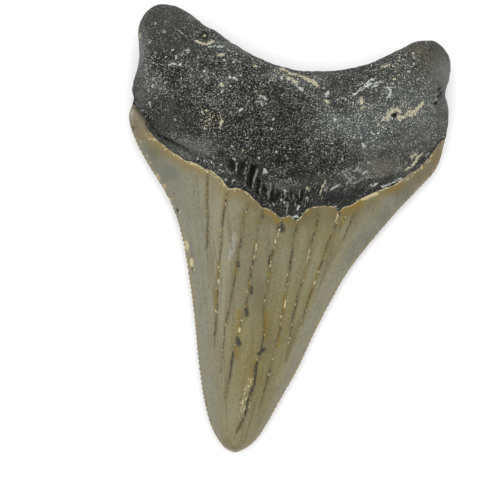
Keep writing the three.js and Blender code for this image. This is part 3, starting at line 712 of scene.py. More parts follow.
# The bare neck: grooves and hollows by depth, ridges by height
NECK_DROP = 0.28  # how far the enamel's end stands over the neck
GROOVES = [
    (0.3, 0.3, (-21.4, 16.5), (-20.5, 15.2), (-19.9, 14.2)),
    (0.34, 0.34, (-19.9, 14.0), (-18.8, 13.4), (-18.1, 13.0)),
    (0.36, 0.26, (-18.1, 13.0), (-17.0, 12.4), (-16.0, 11.8), (-15.0, 11.0), (-14.3, 10.6)),
    (0.3, 0.3, (-17.7, 12.9), (-17.1, 12.5)), (0.34, 0.25, (-16.2, 12.1), (-15.5, 11.4)),
    (0.3, 0.2, (-19.3, 14.1), (-18.8, 13.5)),
    (0.4, 0.2, (9.5, 6.4), (11.0, 6.8), (12.5, 6.9), (14.2, 7.4), (15.5, 7.6), (16.5, 8.0)),
    (0.34, 0.16, (16.5, 8.0), (18.5, 8.9), (19.5, 9.7), (20.8, 10.9), (21.5, 11.6)),
    (0.45, 0.32, (-0.4, 7.9), (1.2, 8.25), (3.5, 8.35), (5.5, 8.6), (6.2, 8.9)),
]
HOLLOWS = [
    (0.75, 0.5, (-10.5, 11.0), (-10.6, 10.4)), (0.6, 0.6, (-9.0, 9.8), (-8.9, 8.7)),
    (0.5, 0.6, (-7.3, 9.4), (-7.3, 8.7)),
    (0.5, 0.8, (-5.6, 8.9), (-5.9, 7.7)), (0.48, 0.7, (-6.15, 7.3), (-6.25, 6.4)),
    (0.42, 0.9, (-4.95, 6.8), (-5.0, 5.2)),
    (0.45, 0.4, (-4.4, 8.4), (-4.4, 8.1)), (0.34, 0.6, (-4.1, 6.2), (-4.15, 5.3)),
    (0.36, 0.5, (-7.6, 8.3), (-7.7, 7.0)),
    (0.4, 0.5, (-3.75, 5.6), (-3.8, 4.3)), (0.36, 0.5, (-2.65, 6.0), (-2.7, 4.0)),
    (0.3, 0.4, (-1.75, 5.4), (-1.75, 3.6)),
    (0.3, 0.4, (0.2, 5.6), (0.15, 3.4)), (0.3, 0.4, (1.95, 5.4), (1.9, 3.4)),
    (0.9, 0.2, (5.4, 4.1), (8.4, 4.5)),
]
RIDGES = [
    (0.2, 0.4, (-7.95, 9.6), (-8.1, 8.7), (-8.15, 7.8), (-8.4, 7.0), (-8.6, 6.4)),
    (0.2, 0.45, (-5.8, 9.9), (-6.05, 9.2), (-6.4, 8.4), (-6.7, 7.0)), (0.16, 0.2, (-6.7, 7.0), (-6.8, 6.1)),
    (0.2, 0.5, (-4.7, 8.8), (-5.1, 8.2), (-5.4, 7.3), (-5.5, 6.5), (-5.7, 5.5)),
    (0.2, 0.3, (-4.0, 7.6), (-4.3, 7.0), (-4.4, 6.2), (-4.5, 5.5)),
    (0.2, 0.4, (-2.9, 6.7), (-3.0, 5.6), (-3.2, 4.8), (-3.3, 4.2)),
    (0.17, 0.25, (-9.7, 9.2), (-9.4, 8.5), (-8.9, 8.0)),
    (0.18, 0.3, (-1.2, 4.9), (-1.25, 3.8)), (0.18, 0.25, (-0.4, 4.0), (-0.4, 2.0)),
    (0.18, 0.2, (-0.1, 4.9), (-0.1, 4.2)),
    (0.18, 0.25, (0.6, 5.3), (0.6, 4.2)), (0.18, 0.25, (1.5, 5.8), (1.45, 4.4)),
    (0.18, 0.25, (2.45, 4.6), (2.3, 3.1)),
    (0.2, 0.35, (4.7, 4.9), (4.9, 6.0), (5.4, 7.0)),
]
NECK_WHITES = [
    (0.2, 0.9, (-9.6, 7.15)), (0.16, 0.8, (-10.1, 8.3)), (0.2, 0.9, (-10.4, 9.25)), (0.2, 0.8, (-8.9, 10.8)),
    (0.2, 1.1, (-8.4, 7.0)), (0.17, 0.8, (-8.1, 9.55)), (0.17, 0.7, (-8.1, 8.75)),
    (0.15, 0.9, (-8.8, 10.2), (-8.3, 10.15)),
    (0.2, 0.8, (-10.65, 10.2)), (0.14, 0.8, (-11.6, 10.6), (-11.5, 10.2)), (0.22, 0.9, (-4.5, 10.4)),
    (0.15, 0.9, (-6.5, 9.5)),
    (0.28, 1.3, (-4.1, 8.15), (-3.7, 8.45)), (0.18, 1.3, (-1.3, 4.1)), (0.2, 0.9, (-0.7, 3.6)),
    (0.16, 0.9, (0.5, 1.7), (1.2, 1.7)), (0.16, 1.3, (1.1, 1.65)), (0.15, 1.2, (1.2, 2.65), (1.5, 3.3)),
    (0.16, 0.9, (2.4, 4.0)),
    (0.16, 0.9, (2.65, 4.4)), (0.18, 0.9, (3.2, 6.6)), (0.17, 0.8, (-0.75, 5.55)), (0.18, 0.8, (-0.1, 7.3)),
    (0.2, 0.9, (2.0, 2.1)),
    (0.14, 1.1, (6.4, 5.65), (6.7, 5.8)), (0.12, 1.0, (7.0, 6.1), (7.3, 6.2)), (0.16, 1.3, (7.0, 3.05)),
    (0.12, 0.6, (9.7, 6.55), (10.1, 6.7)),
    (0.12, 0.7, (11.1, 8.3), (11.4, 8.5)), (0.1, 0.6, (8.5, 8.5)), (0.14, 0.7, (12.0, 6.2), (13.4, 6.5)),
    (0.14, 0.8, (14.0, 6.15), (15.3, 6.75), (17.0, 7.35)),
    (0.09, 0.4, (-22.0, 17.7), (-21.3, 17.0)), (0.13, 0.6, (-13.0, 10.2), (-12.2, 9.6)),
    (0.12, 0.6, (-12.0, 9.9), (-11.4, 9.4)), (0.12, 0.5, (-14.4, 10.6), (-13.8, 10.3)),
    (0.12, 0.5, (-10.9, 8.9), (-10.5, 8.6)),
]
RIDGE_SPREAD = 1.6
STREAKS = [  # grey ones, as if wiped over the neck
    (0.22, 1.2, (7.8, 8.35), (8.3, 7.9), (8.7, 7.5), (9.2, 7.2)),
    (0.22, 1.25, (8.4, 8.65), (8.9, 8.2), (9.3, 7.8), (9.8, 7.4)),
    (0.22, 1.2, (9.05, 8.9), (9.5, 8.5)), (0.22, 1.3, (10.25, 9.1), (10.0, 8.8), (9.8, 8.5)),
    (0.2, 1.1, (10.6, 8.9), (10.3, 8.5)),
    (0.26, 1.3, (10.95, 8.15), (11.5, 8.55)), (0.2, 1.1, (8.9, 7.05), (8.55, 6.7), (8.45, 6.35)),
    (0.22, 1.3, (9.55, 6.5), (10.25, 6.7)),
    (0.2, 1.1, (10.3, 7.0), (10.8, 7.3)), (0.28, 1.2, (6.25, 5.55), (6.9, 5.95), (7.5, 6.35)),
    (0.22, 1.0, (5.4, 5.5), (5.9, 6.1)),
    (0.2, 0.75, (10.9, 7.0), (11.5, 6.8)), (0.2, 0.75, (8.6, 5.9), (8.2, 5.5)),
    (0.2, 0.7, (11.5, 7.9), (12.0, 8.0)),
]
NECK_CREAMS = [(0.18, 1.0, (2.7, 5.7), (2.7, 5.95)), (0.18, 0.9, (4.7, 4.9), (4.9, 6.0), (5.4, 7.0))]

# The root: pale mineral on its bone, and pits by depth
MINERAL_SPREAD = 1.4  # how much wider than its core a stroke of mineral strews its flakes
ROOT_WHITES = [
    (0.22, 1.1, (11.2, 21.0), (11.8, 21.5)), (0.2, 0.5, (8.8, 19.6), (10.2, 20.4)),
    (0.2, 0.8, (10.1, 20.4), (10.9, 20.9), (11.9, 21.3)),
    (0.15, 1.0, (11.1, 21.4), (12.0, 22.0), (12.9, 22.3)), (0.13, 0.9, (9.3, 19.8), (10.2, 20.2)),
    (0.17, 1.0, (11.5, 20.9), (12.4, 21.5), (13.7, 21.8)), (0.13, 1.0, (12.2, 20.9), (13.1, 21.3)),
    (0.14, 0.9, (10.0, 21.2), (10.9, 21.7)),
    (0.24, 0.3, (-18.6, 31.0)), (0.16, 0.2, (-20.2, 30.6)), (0.14, 0.4, (-19.0, 29.5), (-18.6, 29.3)),
    (0.2, 1.1, (-17.6, 26.6)),
    (0.26, 1.3, (-15.2, 26.4)), (0.16, 0.9, (-16.0, 26.0), (-16.2, 25.8)),
    (0.16, 0.9, (-16.9, 25.5), (-17.0, 25.3)),
    (0.18, 0.9, (-18.4, 25.5)), (0.15, 0.9, (-18.0, 24.3), (-17.4, 24.6), (-16.9, 24.3), (-16.2, 24.5)),
    (0.11, 0.5, (-16.9, 29.8), (-16.2, 29.2), (-15.3, 28.7)), (0.14, 0.8, (-12.1, 27.0), (-11.2, 27.25)),
    (0.14, 0.8, (-10.6, 27.05), (-10.0, 27.15)), (0.2, 1.2, (-9.75, 25.1)), (0.2, 1.2, (-8.4, 24.7)),
    (0.2, 1.3, (-9.0, 22.6)),
    (0.2, 1.3, (-8.5, 22.5), (-8.0, 22.2)), (0.28, 0.8, (-10.1, 20.4)),
    (0.18, 0.9, (-4.3, 21.3)), (0.16, 0.8, (-7.1, 21.7)), (0.16, 0.8, (-6.6, 21.5)),
    (0.16, 0.8, (-6.0, 21.1)), (0.13, 0.7, (-12.9, 23.4), (-12.2, 23.7)), (0.2, 1.1, (-20.5, 21.3)),
    (0.18, 0.9, (-18.6, 21.7)),
    (0.18, 0.9, (-16.9, 19.9)), (0.18, 0.9, (-14.7, 22.8)), (0.16, 0.7, (-18.7, 17.6)),
    (0.16, 0.8, (-19.8, 19.5)),
    (0.12, 0.8, (-17.2, 16.0), (-17.2, 16.6)), (0.1, 1.1, (-21.05, 18.75), (-20.8, 18.35)),
    (0.15, 0.8, (-13.3, 17.2), (-12.8, 17.5)), (0.16, 0.8, (-13.1, 16.2)),
    (0.16, 0.7, (-15.5, 13.2)), (0.2, 0.8, (-12.7, 14.8)), (0.3, 0.8, (-4.4, 18.7)),
    (0.14, 1.0, (-4.9, 18.9)), (0.14, 1.1, (-4.1, 18.3)), (0.12, 1.0, (-3.9, 18.9)),
    (0.16, 0.9, (-4.4, 19.7), (-3.9, 19.5), (-3.5, 19.1)),
    (0.16, 0.9, (-7.4, 17.5), (-7.0, 17.7)), (0.17, 0.9, (-7.9, 17.3)), (0.17, 0.9, (-6.6, 18.2)),
    (0.17, 0.8, (-8.7, 17.3)),
    (0.17, 0.8, (-12.0, 16.1)), (0.18, 0.9, (-3.7, 15.8)), (0.18, 0.8, (-2.5, 16.3)),
    (0.18, 0.9, (-6.6, 13.7)), (0.16, 0.8, (-6.3, 13.4)),
    (0.18, 0.9, (-8.5, 12.2)), (0.17, 0.8, (-5.8, 11.9)), (0.17, 0.8, (-4.2, 13.2)),
    (0.18, 0.9, (-2.0, 11.3)), (0.17, 0.9, (6.2, 12.5)),
    (0.17, 0.8, (6.7, 11.6)), (0.17, 0.9, (3.1, 9.6)), (0.17, 0.8, (-1.0, 11.9)), (0.17, 0.8, (0.0, 11.7)),
    (0.17, 0.8, (7.8, 10.2)),
    (0.2, 1.1, (1.1, 21.2), (1.4, 20.8), (2.0, 20.6)), (0.2, 1.4, (-1.2, 22.4)), (0.2, 1.3, (-0.3, 22.1)),
    (0.18, 1.2, (5.1, 20.9)),
    (0.24, 1.7, (5.8, 20.3), (5.5, 19.9)), (0.26, 1.3, (6.6, 16.2)), (0.16, 0.9, (7.9, 19.3), (8.3, 19.3)),
    (0.16, 0.8, (8.5, 14.6)),
    (0.16, 0.6, (10.0, 20.2), (11.3, 20.9)), (0.18, 1.0, (14.4, 22.2)),
    (0.17, 1.4, (14.2, 20.9), (14.9, 20.8), (15.1, 20.2), (14.8, 19.6), (14.4, 19.3)),
    (0.17, 0.9, (15.3, 21.6)), (0.15, 0.8, (15.2, 21.1)), (0.15, 0.8, (12.3, 24.3)),
    (0.16, 0.8, (17.0, 25.4)), (0.2, 1.0, (18.5, 26.1)),
    (0.17, 0.8, (18.5, 25.4)), (0.17, 0.8, (18.6, 24.5)), (0.16, 0.8, (18.2, 24.1)),
    (0.1, 0.5, (17.2, 23.9), (18.5, 22.9)),
    (0.14, 0.8, (19.0, 22.3), (19.4, 22.1)), (0.16, 0.9, (16.5, 20.8)), (0.16, 0.8, (15.7, 20.2)),
    (0.17, 0.9, (13.0, 20.8)),
    (0.16, 0.8, (12.2, 20.3)), (0.16, 0.8, (13.3, 19.5)), (0.17, 0.8, (14.0, 16.4)),
    (0.28, 1.4, (11.0, 12.3)), (0.18, 0.8, (11.9, 9.7)),
    (0.24, 0.8, (11.1, 8.3)), (0.18, 0.8, (12.1, 14.2)), (0.2, 1.2, (20.6, 10.8), (21.0, 11.1)),
    (0.16, 0.8, (19.0, 12.8)),
]
ROOT_CREAMS = [
    (0.24, 1.2, (-10.4, 21.4), (-9.9, 21.3)), (0.18, 0.8, (-5.3, 24.3), (-4.7, 24.15)),
    (0.15, 1.3, (-2.35, 22.4)), (0.15, 1.4, (-1.7, 23.1)),
    (0.16, 1.4, (-2.9, 22.1)), (0.15, 1.3, (-1.6, 23.9)), (0.15, 1.3, (-1.1, 23.7)),
    (0.14, 1.2, (-3.2, 21.8)), (0.14, 1.1, (-2.4, 23.4)),
    (0.14, 1.2, (-0.9, 22.9)), (0.17, 0.9, (-20.9, 27.8)), (0.15, 0.9, (-22.3, 29.1), (-22.35, 28.5)),
    (0.18, 0.9, (-22.1, 26.6)),
    (0.14, 2.0, (-14.1, 28.0), (-13.6, 27.75), (-13.0, 27.6), (-12.4, 27.45), (-12.0, 27.6), (-11.5, 27.9)),
    (0.2, 2.0, (-12.75, 28.95)),
    (0.28, 0.9, (-11.6, 27.9)), (0.22, 2.4, (-10.6, 25.9), (-9.9, 25.95)),
    (0.16, 0.9, (-9.1, 26.6), (-8.6, 26.4)),
    (0.22, 1.5, (-5.1, 20.4)), (0.2, 1.0, (-10.4, 14.9), (-10.2, 16.0)),
    (0.2, 0.9, (-12.4, 17.5)), (0.2, 0.9, (-12.6, 15.2)), (0.2, 1.0, (-2.7, 14.7)), (0.2, 1.0, (-7.0, 11.6)),
    (0.2, 1.0, (-1.3, 23.8), (-0.4, 23.5), (0.2, 23.1), (1.5, 22.9)),
    (0.24, 1.2, (1.5, 22.9), (2.2, 22.6), (2.8, 22.2), (3.3, 21.9)),
    (0.3, 0.9, (2.5, 22.5), (3.4, 22.1)), (0.26, 1.2, (3.7, 21.9), (4.2, 21.4)),
    (0.24, 1.1, (-0.4, 22.5), (0.4, 22.3), (1.1, 21.7)),
    (0.16, 1.0, (0.3, 21.7)), (0.17, 0.9, (1.3, 21.7)), (0.22, 1.5, (5.3, 19.1), (5.8, 18.7)),
    (0.17, 1.0, (15.4, 22.3), (15.8, 22.4)),
    (0.17, 1.0, (13.8, 24.15), (14.4, 24.3), (15.0, 24.4), (15.5, 24.2)),
    (0.17, 0.9, (16.4, 25.6)), (0.2, 1.4, (10.7, 19.3), (10.8, 18.6)),
    (0.18, 1.2, (10.6, 17.9), (11.1, 18.0)),
    (0.3, 1.1, (14.2, 16.2), (14.9, 17.1), (15.3, 17.5), (16.0, 17.7), (16.5, 17.3)),
    (0.3, 1.2, (16.2, 16.9), (16.6, 16.3), (17.2, 16.7), (17.8, 16.9), (18.6, 17.2)),
    (0.26, 1.1, (17.9, 17.3), (19.1, 17.7), (19.6, 18.2), (19.9, 18.8)),
    (0.22, 1.0, (13.3, 15.6)), (0.3, 1.0, (18.3, 10.6), (18.9, 10.9)),
    (0.22, 1.2, (17.4, 8.6), (18.3, 9.2), (18.9, 9.9), (19.4, 10.7), (19.8, 11.1)), (0.2, 0.9, (17.5, 9.8)),
    (0.18, 0.9, (16.7, 12.5)),
]
PITS = [
    (0.3, 0.5, (-13.15, 29.1), (-12.9, 29.4), (-12.4, 29.35), (-12.2, 28.95), (-12.4, 28.55), (-12.9, 28.5),
     (-13.15, 29.1)),
    (0.3, 0.2, (-14.5, 28.95)), (0.42, 0.8, (15.6, 16.9), (15.8, 16.9)),
    (0.25, 0.5, (17.0, 16.9)), (0.42, 0.8, (22.5, 20.7)), (0.4, 0.75, (22.8, 20.1)),
    (0.42, 0.8, (22.4, 19.6)), (0.4, 0.6, (21.75, 18.5), (22.05, 18.65)),
    (0.3, 0.35, (-1.6, 19.3)), (0.32, 0.5, (-21.4, 16.5)), (0.3, 0.3, (-20.6, 15.2)),
    (0.75, 0.12, (-20.4, 21.7)), (0.2, 0.15, (-17.1, 30.5), (-16.2, 29.6), (-15.1, 28.8)),
    (0.3, 0.2, (4.9, 22.4)), (0.3, 0.2, (-3.0, 17.4)), (0.35, 0.2, (8.9, 17.0)), (0.3, 0.2, (-15.4, 18.4)),
    (0.3, 0.2, (1.0, 14.0)),
]

# Soft differences between areas of the bone: middle, half widths, strength
SMOOTH_BONE = [
    ((-18.5, 31.0), (5.0, 4.4), 1.1), ((-22.9, 25.5), (1.3, 5.5), 1.0), ((-18.6, 15.4), (4.2, 2.2), 0.9),
    ((21.8, 25.0), (3.0, 4.0), 0.7), ((22.8, 25.5), (1.6, 2.5), 0.5), ((23.8, 22.6), (0.9, 1.8), 0.9),
    ((14.0, 9.2), (2.8, 1.2), 0.7), ((3.8, 7.2), (3.0, 0.8), 0.8), ((7.2, 4.3), (2.2, 1.0), 0.9),
    ((-16.0, 12.2), (4.0, 1.0), 0.7),
    ((19.5, 16.0), (4.5, 6.0), 0.4), ((9.0, 21.0), (5.0, 2.0), 0.6), ((-17.0, 27.0), (4.0, 1.5), 0.3),
    ((12.5, 12.0), (4.0, 2.0), 0.3),
    ((5.0, 23.4), (8.0, 0.7), 0.7), ((-8.0, 27.2), (4.0, 0.8), 0.8), ((22.8, 17.0), (1.2, 4.0), 0.5),
    ((-22.3, 19.0), (1.3, 1.5), 0.7),
]
BROWN_BONE = [
    ((14.0, 9.2), (2.8, 1.4), 0.8), ((-18.5, 31.0), (4.5, 3.5), 0.12), ((21.0, 25.0), (3.5, 3.0), 0.35),
    ((19.0, 26.6), (1.6, 0.7), 0.8),
    ((-14.8, 31.2), (0.6, 0.35), 0.5), ((23.8, 22.6), (0.8, 1.4), 0.7), ((3.5, 7.2), (2.6, 0.8), 0.3),
    ((-4.0, 9.3), (1.2, 1.0), 0.3), ((21.0, 11.8), (2.2, 1.0), 0.4),
    ((-12.0, 13.0), (3.0, 0.8), 0.3),
]
# Paler areas: the bone's own tone, and painted light: a sheen on the rounded left edge of the root and a
# highlight on a bump of the left lobe
PALE_AND_LIT_BONE = [
    ((15.0, 18.0), (6.0, 5.0), 0.6), ((19.5, 14.5), (4.5, 4.5), 0.35), ((22.4, 20.0), (2.5, 4.0), 0.8),
    ((12.5, 10.5), (4.0, 2.0), 0.4),
    ((9.0, 15.5), (4.5, 2.8), 1.0), ((9.4, 7.3), (1.8, 1.0), 1.4), ((12.4, 12.7), (1.6, 1.1), 0.4),
    ((-1.6, 5.9), (1.4, 0.7), 0.6), ((6.2, 6.3), (1.2, 0.8), 0.5), ((4.5, 14.2), (2.0, 1.2), 0.4),
    ((-21.6, 19.2), (2.0, 2.2), 0.5), ((-14.2, 11.8), (3.0, 1.4), 1.3), ((-22.7, 26.5), (1.2, 3.4), 2.0),
    ((-9.0, 27.4), (4.0, 1.2), 1.1), ((-13.8, 22.8), (2.0, 1.8), 0.5), ((-20.3, 21.6), (1.4, 1.4), 1.0),
    ((-10.1, 21.2), (1.0, 0.9), 1.0),
    ((-17.0, 24.6), (2.4, 0.8), 0.4), ((-4.3, 18.8), (1.0, 0.7), 0.9), ((-8.5, 17.4), (2.0, 0.6), 0.4),
    ((-9.5, 22.4), (2.0, 0.6), 0.5),
    ((-2.0, 22.8), (1.6, 0.8), 0.8), ((2.5, 21.9), (2.4, 1.0), 0.6), ((17.6, 24.9), (1.6, 1.2), 0.3),
    ((23.5, 24.0), (1.2, 2.0), 0.8), ((23.9, 22.4), (0.8, 1.4), 0.9), ((-14.8, 31.4), (0.7, 0.4), 1.2),
    ((16.5, 8.4), (2.8, 1.5), 0.5), ((-15.0, 26.2), (2.5, 0.6), 0.3), ((17.6, 20.6), (3.0, 2.6), 0.5),
    ((12.4, 8.6), (2.2, 1.2), 0.9),
    ((19.0, 16.4), (2.4, 1.8), 0.6), ((20.8, 12.2), (1.6, 1.8), 0.15), ((22.4, 24.0), (1.6, 2.2), 0.5),
    ((-22.8, 26.4), (1.4, 2.2), 0.8),
    ((-4.0, 22.6), (2.4, 0.8), 0.4), ((12.5, 14.0), (3.0, 2.0), 0.5), ((-1.2, 6.2), (2.4, 0.8), 0.7),
    ((6.0, 16.6), (1.8, 1.6), 0.4),
]
CREAM_BONE = [
    ((-11.8, 16.4), (2.0, 1.8), 0.8), ((17.2, 17.6), (2.6, 1.4), 0.5), ((-4.2, 19.8), (1.0, 1.0), 0.6),
    ((-12.6, 28.0), (1.4, 0.7), 0.5),
]
# Darker areas: the bone's own tone, and painted shade over the middle of the root and under the lower edge of
# its bulge
DARK_AND_SHADED_BONE = [
    ((-8.2, 23.8), (1.8, 0.7), 0.7), ((-13.0, 14.7), (2.2, 1.0), 0.5), ((9.8, 10.5), (2.2, 1.2), 0.5),
    ((18.6, 12.9), (1.6, 1.0), 0.3), ((-12.6, 27.4), (2.2, 1.4), 0.8), ((0.6, 3.2), (2.2, 1.2), 0.8),
    ((0.0, 3.8), (1.8, 0.9), 0.5), ((-6.6, 5.6), (1.2, 0.9), 0.6), ((11.6, 19.6), (1.8, 1.8), 0.8),
    ((-14.2, 27.0), (1.6, 1.0), 0.7), ((2.0, 7.4), (1.6, 0.9), 1.4), ((-16.0, 20.3), (1.8, 1.0), 0.8),
    ((-9.5, 16.3), (2.4, 0.9), 0.9),
    ((12.0, 21.9), (1.2, 1.0), 0.7), ((9.5, 12.2), (2.2, 1.6), 0.5), ((18.6, 11.6), (1.6, 1.6), 0.3),
    ((22.6, 20.1), (0.7, 1.0), 0.9), ((22.0, 18.6), (0.7, 0.5), 0.7), ((-4.5, 14.5), (6.0, 5.5), 0.12),
    ((12.5, 21.6), (1.6, 1.0), 0.5), ((14.0, 20.6), (1.4, 1.2), 0.5),
    ((-2.0, 13.0), (8.0, 3.4), 0.7), ((-1.0, 17.5), (5.0, 2.4), 0.8), ((-15.0, 17.5), (5.0, 2.5), 0.5),
    ((-17.0, 27.0), (4.0, 2.5), 0.4),
    ((7.0, 4.2), (2.6, 0.9), 0.9), ((-7.0, 8.6), (3.4, 2.2), 0.8), ((-0.5, 2.9), (4.0, 1.3), 1.3),
    ((-10.8, 17.3), (2.5, 1.5), 0.5), ((-19.0, 20.0), (2.0, 2.0), 0.3),
    ((2.2, 8.8), (2.6, 1.2), 0.5), ((0.5, 10.0), (5.0, 1.4), 0.8),
    ((7.5, 10.5), (3.0, 1.0), 0.8), ((-1.5, 20.5), (2.0, 1.0), 0.7), ((-18.0, 22.5), (2.0, 1.6), 0.5),
    ((-9.5, 13.5), (2.5, 1.2), 0.4),
    ((-19.0, 17.5), (3.0, 1.6), 0.5), ((11.0, 20.0), (2.6, 1.2), 0.6), ((-6.0, 22.0), (1.5, 1.0), 0.5),
]
STRIPED_BONE = [  # where the neck is combed into fine upright fibres
    ((-0.7, 4.3), (4.0, 1.0), 1.6), ((-6.5, 8.0), (3.0, 2.0), 0.6), ((12.5, 6.0), (4.5, 0.8), 0.35),
    ((4.6, 5.4), (1.6, 1.2), 1.0),
    ((-13.0, 9.9), (2.5, 0.7), 0.4), ((9.6, 7.9), (1.9, 1.2), 0.8),
]
FAN_WIDTH = 30.0  # of the enamel's streaks, which lie halfway between upright and fanned out from the tip
# x, and how many steps in x the fibres take there for one in y
FIBRE_LEANS = [(-25, 0.5), (-12, 0.25), (0, 0.1), (6, 0.3), (12, 0.9), (25, 1.0)]


def along_noise(turns, seed, period):
    return noise_at(np.stack([turns, np.full_like(turns, seed), np.zeros_like(turns)], -1), period, 1)


def serrations(along, seed):
    """How far the edge's teeth stand out or are cut in, from about -1 to 1, along one cutting edge."""
    turns = along * SERRATIONS
    tooth = np.abs(np.cos(np.pi * (turns + 0.5 * along_noise(turns, seed, 2.7))))
    size = 1 + 0.55 * along_noise(turns, seed + 9, 3.9)
    worn = smooth(along, *SERRATED) * (1 - SHOULDER_WEAR * smooth(along, SHOULDER_START, 1))
    worn = worn * (1 - smooth(along, *SERRATIONS_END))
    return (tooth - 0.6) * 1.6 * size * worn


def share_between_edges(points):
    """How far across the crown each point in plan lies, by its gaps from the two cutting edges."""
    left, right = (np.abs(gap_to(points, edge.samples)) for edge in (LEFT_EDGE, RIGHT_EDGE))
    return left / np.maximum(left + right, 1e-9)


def shape(layout):
    """The place of every vertex of the form, and what the details need to know of it."""
    across, row, side = (np.concatenate(parts) for parts in (layout.across, layout.row, layout.side))
    labial = side == LABIAL
    on_labial, on_lingual = (in_plan(across, row, LINES[side]) for side in (LABIAL, LINGUAL))
    plan = np.where(labial[:, None], on_labial, on_lingual)
    inside = np.abs(gap_to(plan, OUTLINE))
    inside[side == SEAM] = 0
    crown, along = row <= 1, np.where(row <= 1, row, row - 1)
    share = share_between_edges(np.where(crown[:, None], plan, LINES[LINGUAL].at(across)))
    top = np.where(crown, crown_lingual(share, along, inside), root_lingual(share, along, plan, inside))
    under = np.where(crown, crown_labial(across, along), root_labial(across, along, plan, inside))
    seam = np.where(crown, crown_seam(along), root_seam(along))
    height = np.select([side == LINGUAL, labial], [top, under], seam)
    return dict(across=across, row=row, side=side, plan=plan, inside=inside, height=height)


def edge_details(form):
    """Moves the cutting edges in and out in plan. Returns how serrations swell each place, from -1 to 1."""
    along = form["row"]
    crown = along <= 1
    width = np.linalg.norm(RIGHT_EDGE.at(along) - LEFT_EDGE.at(along), axis=1)
    broken = raised(form["plan"], CHIPS)
    teeth = np.zeros(len(along))
    both_edges = ((LEFT_EDGE, -1, form["across"], 1), (RIGHT_EDGE, 1, 1 - form["across"], 5))
    for edge, outward, share, seed in both_edges:
        reach = np.exp(-((share * width / SERRATION_REACH) ** 2)) * crown
        swell = serrations(np.minimum(along, 1), seed) * reach
        out = SERRATION_HEIGHT * swell - 0.3 * broken * reach
        form["plan"] = form["plan"] + edge.sideways(np.minimum(along, 1)) * (outward * out)[:, None]
        teeth += swell
    return teeth


def field_of(tables):
    """The strokes of several tables of relief as marks, the deeper ones the stronger: their own dark, with
    painted shade in the hollows.
    """
    return [(half, min(1.6 * height, 1.0), *places) for table in tables for half, height, *places in table]


def cracked(points, cracks, half, strength=None):
    """How strongly cracks of one half width cover the points, all equally strong if that is given."""
    return painted(points, [(half, strength or own, *places) for own, *places in cracks])


def wider(strokes, times):
    return [(half * times, strength, *places) for half, strength, *places in strokes]


def areas(points, marks):
    return np.clip(bumps(points, marks), 0, 1)


